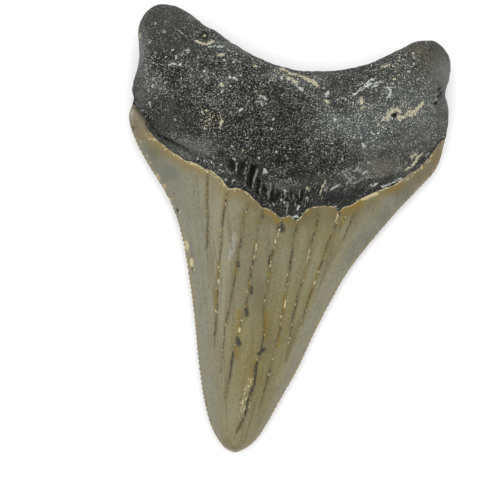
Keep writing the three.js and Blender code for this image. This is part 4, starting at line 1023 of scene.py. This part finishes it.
def lingual_details(form, base):
    """The relief of the lingual side and the fields that its colours need."""
    points, crown = form["plan"], form["row"] <= 1
    line_gap = -gap_to(points, LINES[LINGUAL].samples)
    knob, shoulder = raised(points, KNOBS), np.clip(painted(points, SHOULDER_BLEND), 0, 1)
    on_enamel, on_bone = wavering(points, 0.7, 0.05), wavering(points, 1.1, 0.16)
    crack = cracked(on_enamel, CRACKS, CRACK_REACH)
    # Dark specks on the crown, one of them painted shade in the groove under the shoulder's knob; on the bone,
    # hollows, grooves and pits darkened by their depth, their own dark with painted shade in them
    dark = np.where(crown, painted(on_enamel, SPECKS_AND_GROOVE_SHADE), painted(on_bone, field_of([HOLLOWS, GROOVES, PITS])))
    pale_bits = wider(NECK_WHITES + ROOT_WHITES, MINERAL_SPREAD)
    cream_bits = wider(NECK_CREAMS + ROOT_CREAMS, MINERAL_SPREAD)
    enamel_creams = RIM + EDGE_CREAM + wider(CREAM_BITS, FILLING_SPREAD)
    cream = np.where(crown, painted(on_enamel, enamel_creams), painted(on_bone, cream_bits))
    # On the crown, bluish-white smears and the painted glint on the shoulder's knob
    white = np.where(crown, painted(on_enamel, FROST_AND_GLINT), painted(on_bone, pale_bits))
    soot = painted(wavering(points, 0.5, 0.12), SOOT)
    flutes = noise_at(base * [1, 0.12, 0.3], 1.9, 2)
    lip = 0.14 * np.exp(-np.maximum(line_gap, 0) / 0.16)
    enamel = (
        0.03 * flutes - 0.08 * np.clip(crack, 0, 1) - 0.1 * np.clip(soot, 0, 1) - raised(points, CHIPS)
        + 0.02 * np.clip(cream, 0, 1) - lip + knob
    )

    below = -gap_to(points, line_stretch(NECK_BORDER).samples)
    neck = smooth(below, -0.2, 0.3) * smooth(-line_gap, 0.0, 0.12)
    smoothed, striped = areas(points, SMOOTH_BONE), areas(points, STRIPED_BONE) * smooth(-line_gap, 0.0, 0.3)
    fibre = points[:, 0] - np.interp(points[:, 0], *np.transpose(FIBRE_LEANS)) * (points[:, 1] - 5)
    fibre = np.where(crown, mix(points[:, 0], FAN_WIDTH * (form["across"] - 0.5), 0.5), fibre)
    combed = noise_at(np.column_stack([fibre, 0.2 * points[:, 1], 0 * fibre]), 0.95, 2)
    ridge_lines = [(half, 1.0, *places) for half, height, *places in RIDGES] + STREAKS
    ridges = painted(on_bone, wider(ridge_lines, RIDGE_SPREAD))
    relief = 0.05 * noise_at(base, 0.8, 2) * (1 - 0.6 * smoothed) + 0.13 * noise_at(base, 2.6, 3)
    minerals = 0.05 * (np.clip(cream, 0, 1) + np.clip(white, 0, 1))
    carved = raised(on_bone, RIDGES) - raised(on_bone, HOLLOWS + GROOVES + PITS)
    bone = relief * (1 - 0.5 * neck) + minerals + carved + 0.22 * combed * striped - NECK_DROP * neck
    fields = dict(
        line_gap=line_gap, dark=dark, cream=cream, white=white, soot=soot,
        rust=painted(on_enamel, RUST), ridge=ridges,
        crack=crack,
        near_crack=cracked(on_enamel, [crack for crack in CRACKS if crack[0] > STAINED_FROM], STAIN_REACH, 1.0),
        neck=neck,
        smoothed=smoothed, brown=np.where(crown, areas(points, BROWN_ENAMEL), areas(points, BROWN_BONE)),
        # The crown's paler areas with its painted highlight band, and the bone's paler areas, some of them
        # painted light
        pale=np.where(
            crown, areas(points, PALE_ENAMEL) + np.maximum(painted(points, PAINTED_HIGHLIGHT_BANDS), 0),
            bumps(points, PALE_AND_LIT_BONE),
        ),
        warm=np.where(crown, areas(points, WARM_ENAMEL), areas(points, CREAM_BONE)),
        dark_and_shade=np.where(crown, areas(points, DARK_AND_SHADED_ENAMEL), areas(points, DARK_AND_SHADED_BONE)),
        striped=striped, fibre=fibre, grey=areas(points, GREY_ENAMEL), knob=shoulder,
    )
    return np.where(crown, enamel, bone), fields


# The labial side, which the photograph hides: cracks that fan out from the tip, and the root's blood holes
LABIAL_CRACKS = 9
LABIAL_HOLES = [
    (0.4, 0.5, (-9.0, 13.6)), (0.35, 0.5, (-3.2, 12.6)), (0.45, 0.6, (1.6, 13.2), (1.7, 13.6)),
    (0.35, 0.5, (6.3, 12.8)),
    (0.4, 0.5, (11.6, 14.4)), (0.3, 0.4, (-13.8, 16.0)), (0.3, 0.4, (15.4, 15.2)), (0.35, 0.4, (-17.0, 21.5)),
]


def labial_cracks():
    cracks = []
    for number in range(LABIAL_CRACKS):
        share = (number + 1) / (LABIAL_CRACKS + 1)
        rows = np.linspace(0.25 + 0.15 * (number % 3), 0.96 - 0.05 * (number % 2), 18)
        swaying = share + 0.012 * along_noise(rows * 9, number * 3.7, 1.0)
        line = in_plan(swaying, rows, LINES[LABIAL])
        parts = {part: 0.55 + 0.35 * ((number * 5 + part) % 4) / 3 for part in range(0, 16, 2)}
        cracks += [(strength, *line[part : part + 3]) for part, strength in parts.items()]
    return cracks


def labial_details(form, base):
    points, crown = form["plan"], form["row"] <= 1
    line_gap = -gap_to(points, LINES[LABIAL].samples)
    cracks = labial_cracks()
    crack = cracked(points, cracks, CRACK_REACH)
    # The blood holes darkened by their depth: their own dark, and painted shade in them
    dark = np.where(crown, -1.0, painted(points, field_of([LABIAL_HOLES])))
    stains = [(0.4, 0.75 * strength, *places) for strength, *places in cracks[2::5]]
    flutes = noise_at(base * [1, 0.12, 0.3], 2.3, 2)
    lip = 0.18 * np.exp(-np.maximum(line_gap, 0) / 0.2)
    enamel = 0.04 * flutes - 0.08 * np.clip(crack, 0, 1) - lip
    step = 0.3 * smooth(-line_gap, 0, 0.4) * (1 - smooth(-line_gap, 1.0, 5.0))
    furrows = 0.12 * noise_at(base * [1, 0.25, 0.5], 1.3, 2) * (1 - smooth(-line_gap, 4.0, 8.0))
    relief = 0.07 * noise_at(base, 0.9, 2) + 0.15 * noise_at(base, 3.0, 3)
    bone = relief + furrows - step - raised(points, LABIAL_HOLES)
    cream = [(0.15, 0.8, *places[:1]) for strength, *places in cracks[1::3]]
    near = cracked(points, cracks, STAIN_REACH, 1.0)
    fibre = mix(points[:, 0], FAN_WIDTH * (form["across"] - 0.5), 0.5)
    fields = dict(line_gap=line_gap, dark=dark, rust=painted(points, stains), cream=painted(points, cream),
                  crack=crack, near_crack=near, fibre=fibre)
    return np.where(crown, enamel, bone), fields


# What each field is where a side has no mark of that kind
FIELDS = dict(line_gap=0.0, dark=-1.0, cream=-1.0, white=-1.0, soot=-1.0, rust=-1.0, ridge=-1.0,
              crack=-1.0, near_crack=-1.0, neck=0.0, smoothed=0.0, brown=0.0,
              pale=0.0, warm=0.0, dark_and_shade=0.0, striped=0.0, fibre=0.0, grey=0.0, knob=0.0, body=1.0)


def surface_normals(mesh):
    normals = np.empty(len(mesh.vertices) * 3, np.float32)
    mesh.vertex_normals.foreach_get("vector", normals)
    return normals.reshape(-1, 3).astype(float)


def fitted(places):
    """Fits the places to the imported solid's box. Returns them and how to do the same to others."""
    low, high = (np.array(corner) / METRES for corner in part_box("tooth"))
    least, most = places.min(0), places.max(0)
    stretch = (high - low) / (most - least)
    return low + (places - least) * stretch, low - least * stretch, stretch


def tooth_piece():
    layout = lay_out()
    form = shape(layout)
    teeth = edge_details(form)
    base = np.column_stack([form["plan"], form["height"]])
    mesh = bpy.data.meshes.new("tooth_surface")
    mesh.from_pydata((base * METRES).tolist(), [], layout.faces)

    detail = np.zeros(len(base))
    fields = {name: np.full(len(base), value) for name, value in FIELDS.items()}
    for side, details in ((LINGUAL, lingual_details), (LABIAL, labial_details)):
        mine = form["side"] == side if side == LABIAL else form["side"] != LABIAL
        part = {name: values[mine] for name, values in form.items()}
        detail[mine], found = details(part, base[mine])
        for name, values in found.items():
            fields[name][mine] = values
    fields["edge_gap"], fields["teeth"] = form["inside"], teeth
    margins = (LEFT_MARGIN, RIGHT_MARGIN)
    left, right = (np.interp(form["plan"][:, 1], *np.transpose(widths)) for widths in margins)
    fields["body"] = form["inside"] / np.where(form["across"] < 0.5, left, right)
    crown = form["row"] <= 1
    detail = np.where(crown, detail * smooth(form["inside"], 0.0, 0.5) + 0.08 * np.minimum(teeth, 0), detail)
    detail[(form["side"] == SEAM) & crown] = 0
    final = base + surface_normals(mesh) * detail[:, None]
    final[:, 2] = np.maximum(final[:, 2], 0)
    final, shift, stretch = fitted(final)
    mesh.vertices.foreach_set("co", (final * METRES).ravel())

    for name, values in fields.items():
        mesh.attributes.new(name, "FLOAT", "POINT").data.foreach_set("value", values.astype(np.float32))
    rows = form["row"]
    on_root = np.array([np.mean(rows[list(face)]) > 1 for face in layout.faces])
    mesh.polygons.foreach_set("material_index", on_root.astype(np.int32))
    mesh.polygons.foreach_set("use_smooth", np.ones(len(layout.faces), bool))
    mesh.materials.append(enamel_material())
    mesh.materials.append(bone_material())
    uv_map(mesh, final, np.array(layout.face_sides) == LINGUAL)
    mesh.update()

    piece = bpy.data.objects.new("tooth_surface", mesh)
    bpy.context.scene.collection.objects.link(piece)
    return piece, (np.append(PHOTO_MIDDLE, 0) * stretch + shift)[:2]


def uv_map(mesh, final, lingual_face):
    """Both sides laid out flat, side by side, as they are seen from above."""
    room = 2 * (np.ptp(final[:, 0]) + 2)
    corners = np.empty(len(mesh.loops), np.int32)
    mesh.loops.foreach_get("vertex_index", corners)
    sizes = np.empty(len(mesh.polygons), np.int32)
    mesh.polygons.foreach_get("loop_total", sizes)
    from_low = final[corners, :2] - final[:, :2].min(0) + 1
    beside = np.where(np.repeat(lingual_face, sizes), 0, room / 2)
    uv = np.column_stack([from_low[:, 0] + beside, from_low[:, 1]]) / room
    mesh.uv_layers.new(name="OFBake").uv.foreach_set("vector", uv.astype(np.float32).ravel())


# Materials

BRIGHTNESS = 0.6  # albedo of a surface that looks white in this light


def tone(red, green, blue):
    """The albedo that looks like a colour of 0 to 255 a channel."""
    shares = (red / 255, green / 255, blue / 255)
    linear = [c / 12.92 if c <= 0.04045 else ((c + 0.055) / 1.055) ** 2.4 for c in shares]
    return (*(BRIGHTNESS * c for c in linear), 1.0)


class Shader:
    """Short ways to add nodes to one material."""

    def __init__(self, name, specular):
        self.material = bpy.data.materials.new(name)
        self.material.use_nodes = True
        self.tree = self.material.node_tree
        self.surface = self.tree.nodes["Principled BSDF"]
        self.surface.inputs["Specular IOR Level"].default_value = specular
        coordinates = self.tree.nodes.new("ShaderNodeTexCoord")
        self.place = self.vector("MULTIPLY", coordinates.outputs["Object"], (1 / METRES,) * 3)

    def join(self, socket, value):
        if isinstance(value, bpy.types.NodeSocket):
            self.tree.links.new(value, socket)
        else:
            socket.default_value = value

    def node(self, kind, inputs, **settings):
        made = self.tree.nodes.new(kind)
        for name, value in settings.items():
            setattr(made, name, value)
        for key, value in inputs.items():
            self.join(made.inputs[key], value)
        return made

    def vector(self, operation, first, second):
        return self.node("ShaderNodeVectorMath", {0: first, 1: second}, operation=operation).outputs[0]

    def math(self, operation, first, second=0.0):
        return self.node("ShaderNodeMath", {0: first, 1: second}, operation=operation).outputs[0]

    def field(self, name):
        return self.node("ShaderNodeAttribute", {}, attribute_name=name).outputs["Fac"]

    def ramp(self, value, low, high, to_low=0.0, to_high=1.0):
        """Goes smoothly from one value to another as the input goes from low to high."""
        inputs = {"Value": value, "From Min": low, "From Max": high, "To Min": to_low, "To Max": to_high}
        return self.node("ShaderNodeMapRange", inputs, interpolation_type="SMOOTHSTEP").outputs["Result"]

    def noise(self, period, detail=2.0, roughness=0.5, stretch=(1, 1, 1), offset=0.0):
        """Noise around 0.5, with swellings about half a period wide."""
        scaled = self.vector("MULTIPLY", self.place, tuple(1 / (period * s) for s in stretch))
        moved = self.vector("ADD", scaled, (offset, offset, offset))
        inputs = {"Vector": moved, "Scale": 1.0, "Detail": detail, "Roughness": roughness}
        return self.node("ShaderNodeTexNoise", inputs).outputs["Fac"]

    def lines(self, period, length, detail=3.0, offset=0.0):
        """Noise that is drawn out along the streaks of the enamel or the fibres of the bone."""
        height = self.node("ShaderNodeSeparateXYZ", {0: self.place}).outputs["Y"]
        across = self.math("MULTIPLY", self.field("fibre"), 1 / period)
        along = self.math("MULTIPLY", height, 1 / length)
        vector = self.node("ShaderNodeCombineXYZ", {0: across, 1: along, 2: offset}).outputs[0]
        texture = self.node("ShaderNodeTexNoise", {"Vector": vector, "Scale": 1.0, "Detail": detail})
        return texture.outputs["Fac"]

    def broken(self, value, noise, amount):
        """A field with its borders broken up by noise."""
        return self.math("ADD", value, self.math("MULTIPLY", self.math("SUBTRACT", noise, 0.5), amount))

    def lit(self, colour, factor):
        """A colour made lighter or darker by a factor."""
        return self.node("ShaderNodeVectorMath", {0: colour, "Scale": factor}, operation="SCALE").outputs[0]

    def mix(self, share, first, second):
        made = self.node("ShaderNodeMix", {}, data_type="RGBA")
        for key, value in ((0, share), (6, first), (7, second)):
            self.join(made.inputs[key], value)
        return made.outputs[2]

    def colours(self, value, stops):
        """A colour ramp from a list of (place, colour)."""
        made = self.node("ShaderNodeValToRGB", {0: value})
        points = made.color_ramp.elements
        for place, colour in stops[1:-1]:
            points.new(place).color = colour
        for point, (place, colour) in ((points[0], stops[0]), (points[-1], stops[-1])):
            point.position, point.color = place, colour
        return made.outputs[0]

    def finish(self, colour, roughness, bumps):
        """Joins colour, roughness and a list of (height, depth in mm) bumps to the surface."""
        self.join(self.surface.inputs["Base Color"], colour)
        self.join(self.surface.inputs["Roughness"], roughness)
        normal = None
        for height, depth in bumps:
            inputs = {"Height": height, "Distance": depth * METRES, "Strength": 1.0}
            if normal:
                inputs["Normal"] = normal
            normal = self.node("ShaderNodeBump", inputs).outputs["Normal"]
        self.join(self.surface.inputs["Normal"], normal)
        return self.material


OLIVE = tone(127, 121, 86)
OLIVE_PALE = tone(154, 150, 121)
OLIVE_GOLD = tone(132, 119, 66)
OLIVE_LIGHT = tone(152, 147, 114)
OLIVE_DARK = tone(98, 90, 52)
MARGIN = tone(138, 137, 120)
GLOW = tone(122, 104, 58)
GLOW_TAN = tone(143, 123, 72)
CREAM = tone(212, 197, 150)
TAN = tone(158, 140, 98)
RUST_BROWN = tone(134, 108, 8)
CRACK = tone(50, 45, 27)
SOOT_GREY = tone(44, 45, 36)
SHOULDER = tone(119, 107, 90)
SLATE = tone(101, 106, 96)
DUSK = tone(72, 64, 58)
FROST_AND_GLINT_WHITE = tone(176, 178, 170)


def enamel_material():
    s = Shader("enamel", specular=0.33)
    inward, line = s.field("edge_gap"), s.field("line_gap")
    fine, coarse = s.noise(0.36, 3, 0.65), s.noise(1.5, 2)
    specks = s.noise(0.3, 2, 0.6, (1, 1.8, 1), offset=11)
    patchy = s.noise(1.5, 2, 0.5, (1, 2, 1), offset=8)
    body = s.ramp(s.broken(s.field("body"), coarse, 0.4), 0.45, 1.45)
    # Paler areas, and the painted highlight band on the right of the crown
    core = s.mix(s.broken(s.field("pale"), coarse, 0.5), OLIVE, OLIVE_PALE)
    core = s.mix(s.broken(s.field("warm"), coarse, 0.5), core, OLIVE_GOLD)
    colour = s.mix(body, MARGIN, core)
    streaks, threads = s.lines(1.3, 14), s.lines(0.45, 7, 2.0, 5.0)
    colour = s.mix(s.ramp(streaks, 0.5, 0.7, 0, 0.6), colour, OLIVE_LIGHT)
    colour = s.mix(s.math("MULTIPLY", s.ramp(streaks, 0.5, 0.3, 0, 0.6), body), colour, OLIVE_DARK)
    colour = s.mix(s.ramp(threads, 0.42, 0.28, 0, 0.5), colour, OLIVE_DARK)
    colour = s.mix(s.ramp(fine, 0.45, 0.75, 0, 0.5), colour, OLIVE_LIGHT)
    colour = s.mix(s.ramp(fine, 0.52, 0.3, 0, 0.4), colour, OLIVE_DARK)

    colour = s.mix(s.ramp(s.broken(s.field("brown"), coarse, 0.8), 0.0, 1.0, 0, 0.85), colour, SHOULDER)
    colour = s.mix(s.ramp(s.broken(s.field("grey"), coarse, 0.6), 0.0, 1.0, 0, 0.6), colour, SLATE)
    glow = s.math("MULTIPLY", s.ramp(line, 2.4, 0.1), s.ramp(s.noise(3.0, 2), 0.35, 0.6, 0.35, 0.9))
    left = s.ramp(s.node("ShaderNodeSeparateXYZ", {0: s.place}).outputs["X"], -4.0, -12.0)
    colour = s.mix(glow, colour, s.mix(left, GLOW, GLOW_TAN))
    # Darker areas: partly the enamel's own tone, partly painted shade along the tip's rim
    colour = s.mix(s.ramp(s.broken(s.field("dark_and_shade"), streaks, 1.5), 0.0, 1.0, 0, 0.6), colour, OLIVE_DARK)

    near = s.field("near_crack")
    stained = s.math("MULTIPLY", s.ramp(near, 0.2, 0.95, 0, 0.55), s.ramp(patchy, 0.35, 0.6, 0.25, 1.0))
    colour = s.mix(stained, colour, OLIVE_DARK)
    rust = s.ramp(s.broken(s.field("rust"), fine, 2.0), -0.3, 1.2, 0, 0.85)
    colour = s.mix(rust, colour, RUST_BROWN)
    # Bluish-white smears, and the painted glint and sheen on the shoulder's knob
    frost_and_glint = s.ramp(s.broken(s.field("white"), specks, 4.0), 0.0, 1.7, 0, 0.75)
    colour = s.mix(frost_and_glint, colour, FROST_AND_GLINT_WHITE)
    soot = s.broken(s.broken(s.field("soot"), fine, 2.6), patchy, 0.8)
    colour = s.mix(s.ramp(soot, -0.3, 0.5, 0, 0.65), colour, OLIVE_DARK)
    colour = s.mix(s.ramp(soot, 0.05, 0.9, 0, 0.95), colour, SOOT_GREY)

    golden = s.ramp(s.noise(0.9, 2, 0.5, (1, 2, 1), 3), 0.52, 0.64, 0, 0.7)
    colour = s.mix(s.math("MULTIPLY", s.ramp(near, 0.65, 0.95), golden), colour, RUST_BROWN)
    crack = s.ramp(s.broken(s.broken(s.field("crack"), specks, 1.2), fine, 0.9), 0.24, 0.98, 0, 0.93)
    colour = s.mix(crack, colour, CRACK)
    # Dark specks, and painted shade in the groove under the shoulder's knob
    dark = s.ramp(s.broken(s.field("dark"), fine, 2.0), 0.0, 0.6, 0, 0.95)
    colour = s.mix(dark, colour, CRACK)
    beads = s.ramp(s.noise(0.28, 1, 0.5, (1, 2.2, 1), offset=4), 0.57, 0.68, 0, 0.8)
    flecks = s.math("MULTIPLY", s.ramp(near, 0.74, 0.9), s.math("MULTIPLY", beads, s.ramp(patchy, 0.45, 0.6)))
    colour = s.mix(flecks, colour, CREAM)
    cream = s.ramp(s.broken(s.field("cream"), specks, 2.6), 0.25, 0.85, 0, 0.92)
    colour = s.mix(cream, colour, CREAM)

    rim = s.math("MULTIPLY", s.ramp(line, 0.2, 0.06), s.ramp(s.noise(0.6, 2, offset=3), 0.42, 0.6, 0.0, 0.9))
    rim = s.math("MULTIPLY", rim, s.ramp(s.field("knob"), 0.4, 0.0))
    colour = s.mix(rim, colour, CREAM)
    dusk = s.math("MULTIPLY", s.field("knob"), s.ramp(s.broken(line, fine, 0.4), 0.75, 0.0, 0, 0.85))
    colour = s.mix(dusk, colour, DUSK)
    teeth = s.field("teeth")
    worn_patches = s.ramp(s.noise(1.6, 2, offset=7), 0.4, 0.6, 0.25, 1.0)
    worn = s.math("MULTIPLY", worn_patches, s.ramp(s.field("knob"), 0.6, 0.1))
    colour = s.mix(s.math("MULTIPLY", s.ramp(inward, 0.5, 0.1, 0, 0.6), worn), colour, TAN)
    colour = s.mix(s.math("MULTIPLY", s.ramp(teeth, 0.15, 0.6, 0, 0.85), worn), colour, CREAM)
    colour = s.mix(s.ramp(teeth, -0.2, -0.7, 0, 0.6), colour, OLIVE_DARK)

    roughness = s.ramp(fine, 0.3, 0.7, 0.36, 0.48)
    return s.finish(colour, roughness, [(s.noise(0.25, 2), 0.006), (streaks, 0.02)])


GRAIN = [  # from the dark of the bone's pores to the pale mineral in it, its brightest end also painted glints on the grains
    (0.30, tone(2, 3, 2)), (0.42, tone(18, 20, 18)), (0.50, tone(42, 44, 41)), (0.56, tone(84, 86, 82)),
    (0.62, tone(150, 152, 144)), (0.70, tone(230, 229, 218)),
]
FIBRES = [
    (0.36, tone(6, 6, 6)), (0.50, tone(20, 20, 18)), (0.59, tone(42, 42, 38)), (0.66, tone(98, 97, 88)),
    (0.74, tone(196, 194, 182)),
]
EVEN_BONE = tone(68, 69, 65)
COOL_GREY = tone(116, 121, 119)
BROWN = tone(94, 85, 68)
NECK_GREY = tone(56, 57, 56)
PORE_AND_HOLLOW_SHADE = tone(23, 19, 17)
THREAD = tone(168, 168, 158)
RIDGE_GREY = tone(162, 160, 152)
MINERAL_WHITE = tone(208, 212, 206)
MINERAL_CREAM = tone(203, 196, 168)


def bone_material():
    s = Shader("bone", specular=0.1)
    fine = s.noise(0.22, 2, 0.75)
    flakes = s.noise(0.5, 4, 0.75, offset=9)
    coarse, patches = s.noise(1.3, 2, offset=5), s.noise(4.0, 3, offset=2)
    colour = s.colours(s.broken(s.broken(fine, coarse, 0.16), patches, 0.1), GRAIN)
    colour = s.mix(s.math("MULTIPLY", s.broken(s.field("smoothed"), patches, 1.2), 0.72), colour, EVEN_BONE)
    colour = s.mix(s.math("MULTIPLY", s.field("brown"), 0.7), colour, BROWN)
    colour = s.mix(s.math("MULTIPLY", s.field("neck"), 0.45), colour, NECK_GREY)
    # Paler areas turn cool grey and are lit brighter, darker ones dimmer: partly the bone's own tone, partly
    # painted light and shade
    pale = s.broken(s.field("pale"), patches, 0.5)
    dark_and_shade = s.math("MULTIPLY", s.broken(s.field("dark_and_shade"), patches, 0.5), 0.5)
    paler = s.math("SUBTRACT", s.math("MULTIPLY", pale, 0.55), dark_and_shade)
    gain = s.math("MAXIMUM", s.math("ADD", paler, 1.0), 0.4)
    colour = s.mix(s.math("MULTIPLY", pale, 0.28), s.lit(colour, gain), COOL_GREY)

    striped = s.field("striped")
    combed = s.colours(s.broken(s.lines(0.36, 1.3), fine, 0.2), FIBRES)
    # The fibres lit brighter and dimmer by the same areas, partly painted light and shade
    combed = s.lit(combed, s.math("ADD", s.math("MULTIPLY", gain, 0.5), 0.5))
    colour = s.mix(s.math("MULTIPLY", striped, 0.8), colour, combed)
    off = s.math("ABSOLUTE", s.math("SUBTRACT", s.lines(1.1, 3.4, 2.0, 7.0), 0.5))
    thread = s.math("MULTIPLY", s.ramp(off, 0.024, 0.004), s.ramp(flakes, 0.42, 0.58, 0.1, 0.9))
    colour = s.mix(s.math("MULTIPLY", thread, s.ramp(striped, 0.2, 0.6)), colour, THREAD)
    sparkle = s.ramp(fine, 0.38, 0.6, 0.5, 1.2)
    ridge = s.ramp(s.broken(s.broken(s.field("ridge"), fine, 0.9), flakes, 0.8), 0.58, 0.92, 0, 0.9)
    colour = s.mix(ridge, colour, RIDGE_GREY)
    for name, mineral in (("white", MINERAL_WHITE), ("cream", MINERAL_CREAM)):
        share = s.ramp(s.broken(s.broken(s.field(name), fine, 2.4), flakes, 3.0), 0.12, 0.8, 0, 0.92)
        colour = s.mix(share, colour, s.lit(mineral[:3], sparkle))
    grain_places = s.ramp(s.broken(s.field("warm"), flakes, 1.5), 0.2, 0.8)
    grains = s.math("MULTIPLY", grain_places, s.ramp(fine, 0.52, 0.62, 0, 0.8))
    colour = s.mix(grains, colour, MINERAL_CREAM)
    # The dark of the bone's pores, and painted shade in its hollows, grooves and pits
    pores_and_hollow_shade = s.ramp(s.broken(s.field("dark"), flakes, 1.6), 0.0, 0.9, 0, 0.88)
    colour = s.mix(pores_and_hollow_shade, colour, PORE_AND_HOLLOW_SHADE)
    roughness = s.ramp(fine, 0.3, 0.7, 0.75, 0.5)
    return s.finish(colour, roughness, [(fine, 0.05), (coarse, 0.14)])


def floor_piece():
    bpy.ops.mesh.primitive_plane_add(size=3)
    floor = bpy.context.object
    floor.name = "floor"
    material = bpy.data.materials.new("floor")
    material.use_nodes = True
    surface = material.node_tree.nodes["Principled BSDF"]
    surface.inputs["Base Color"].default_value = (0.9, 0.9, 0.9, 1)
    surface.inputs["Roughness"].default_value = 0.9
    floor.data.materials.append(material)


def light(name, place, size, power):
    lamp = bpy.data.lights.new(name, "AREA")
    lamp.size = size
    lamp.energy = power
    holder = bpy.data.objects.new(name, lamp)
    holder.location = place
    holder.rotation_mode = "QUATERNION"
    holder.rotation_quaternion = (-Vector(place)).to_track_quat("-Z", "Y")
    bpy.context.scene.collection.objects.link(holder)


def studio():
    world = bpy.data.worlds.new("studio")
    world.use_nodes = True
    world.node_tree.nodes["Background"].inputs["Color"].default_value = (1, 1, 1, 1)
    world.node_tree.nodes["Background"].inputs["Strength"].default_value = 1.2
    bpy.context.scene.world = world
    light("key", (0.2, 0.5, 0.9), 1.0, 4.3)
    light("fill", (-0.5, 0.0, 1.0), 0.9, 2.4)
    bpy.context.scene.view_settings.view_transform = "Standard"


# Camera: straight down, as the photograph looks, with the photograph's middle in the middle
PHOTO_WIDTH = 75.0  # how much of the root's widest plane the photograph's 500 pixels take in
PHOTO_MIDDLE = (-5.93, -2.25)
CAMERA_HEIGHT = 1.0  # metres
SENSOR = 36.0


def camera(middle):
    data = bpy.data.cameras.new("camera")
    data.sensor_width = SENSOR
    data.lens = SENSOR * (CAMERA_HEIGHT - ROOT_SEAM * METRES) / (PHOTO_WIDTH * METRES)
    data.clip_start, data.clip_end = 0.1, 10
    holder = bpy.data.objects.new("camera", data)
    holder.location = (middle[0] * METRES, middle[1] * METRES, CAMERA_HEIGHT)
    bpy.context.scene.collection.objects.link(holder)
    bpy.context.scene.camera = holder


tooth, middle = tooth_piece()
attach(tooth, "root")
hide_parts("tooth")
floor_piece()
studio()
camera(middle)
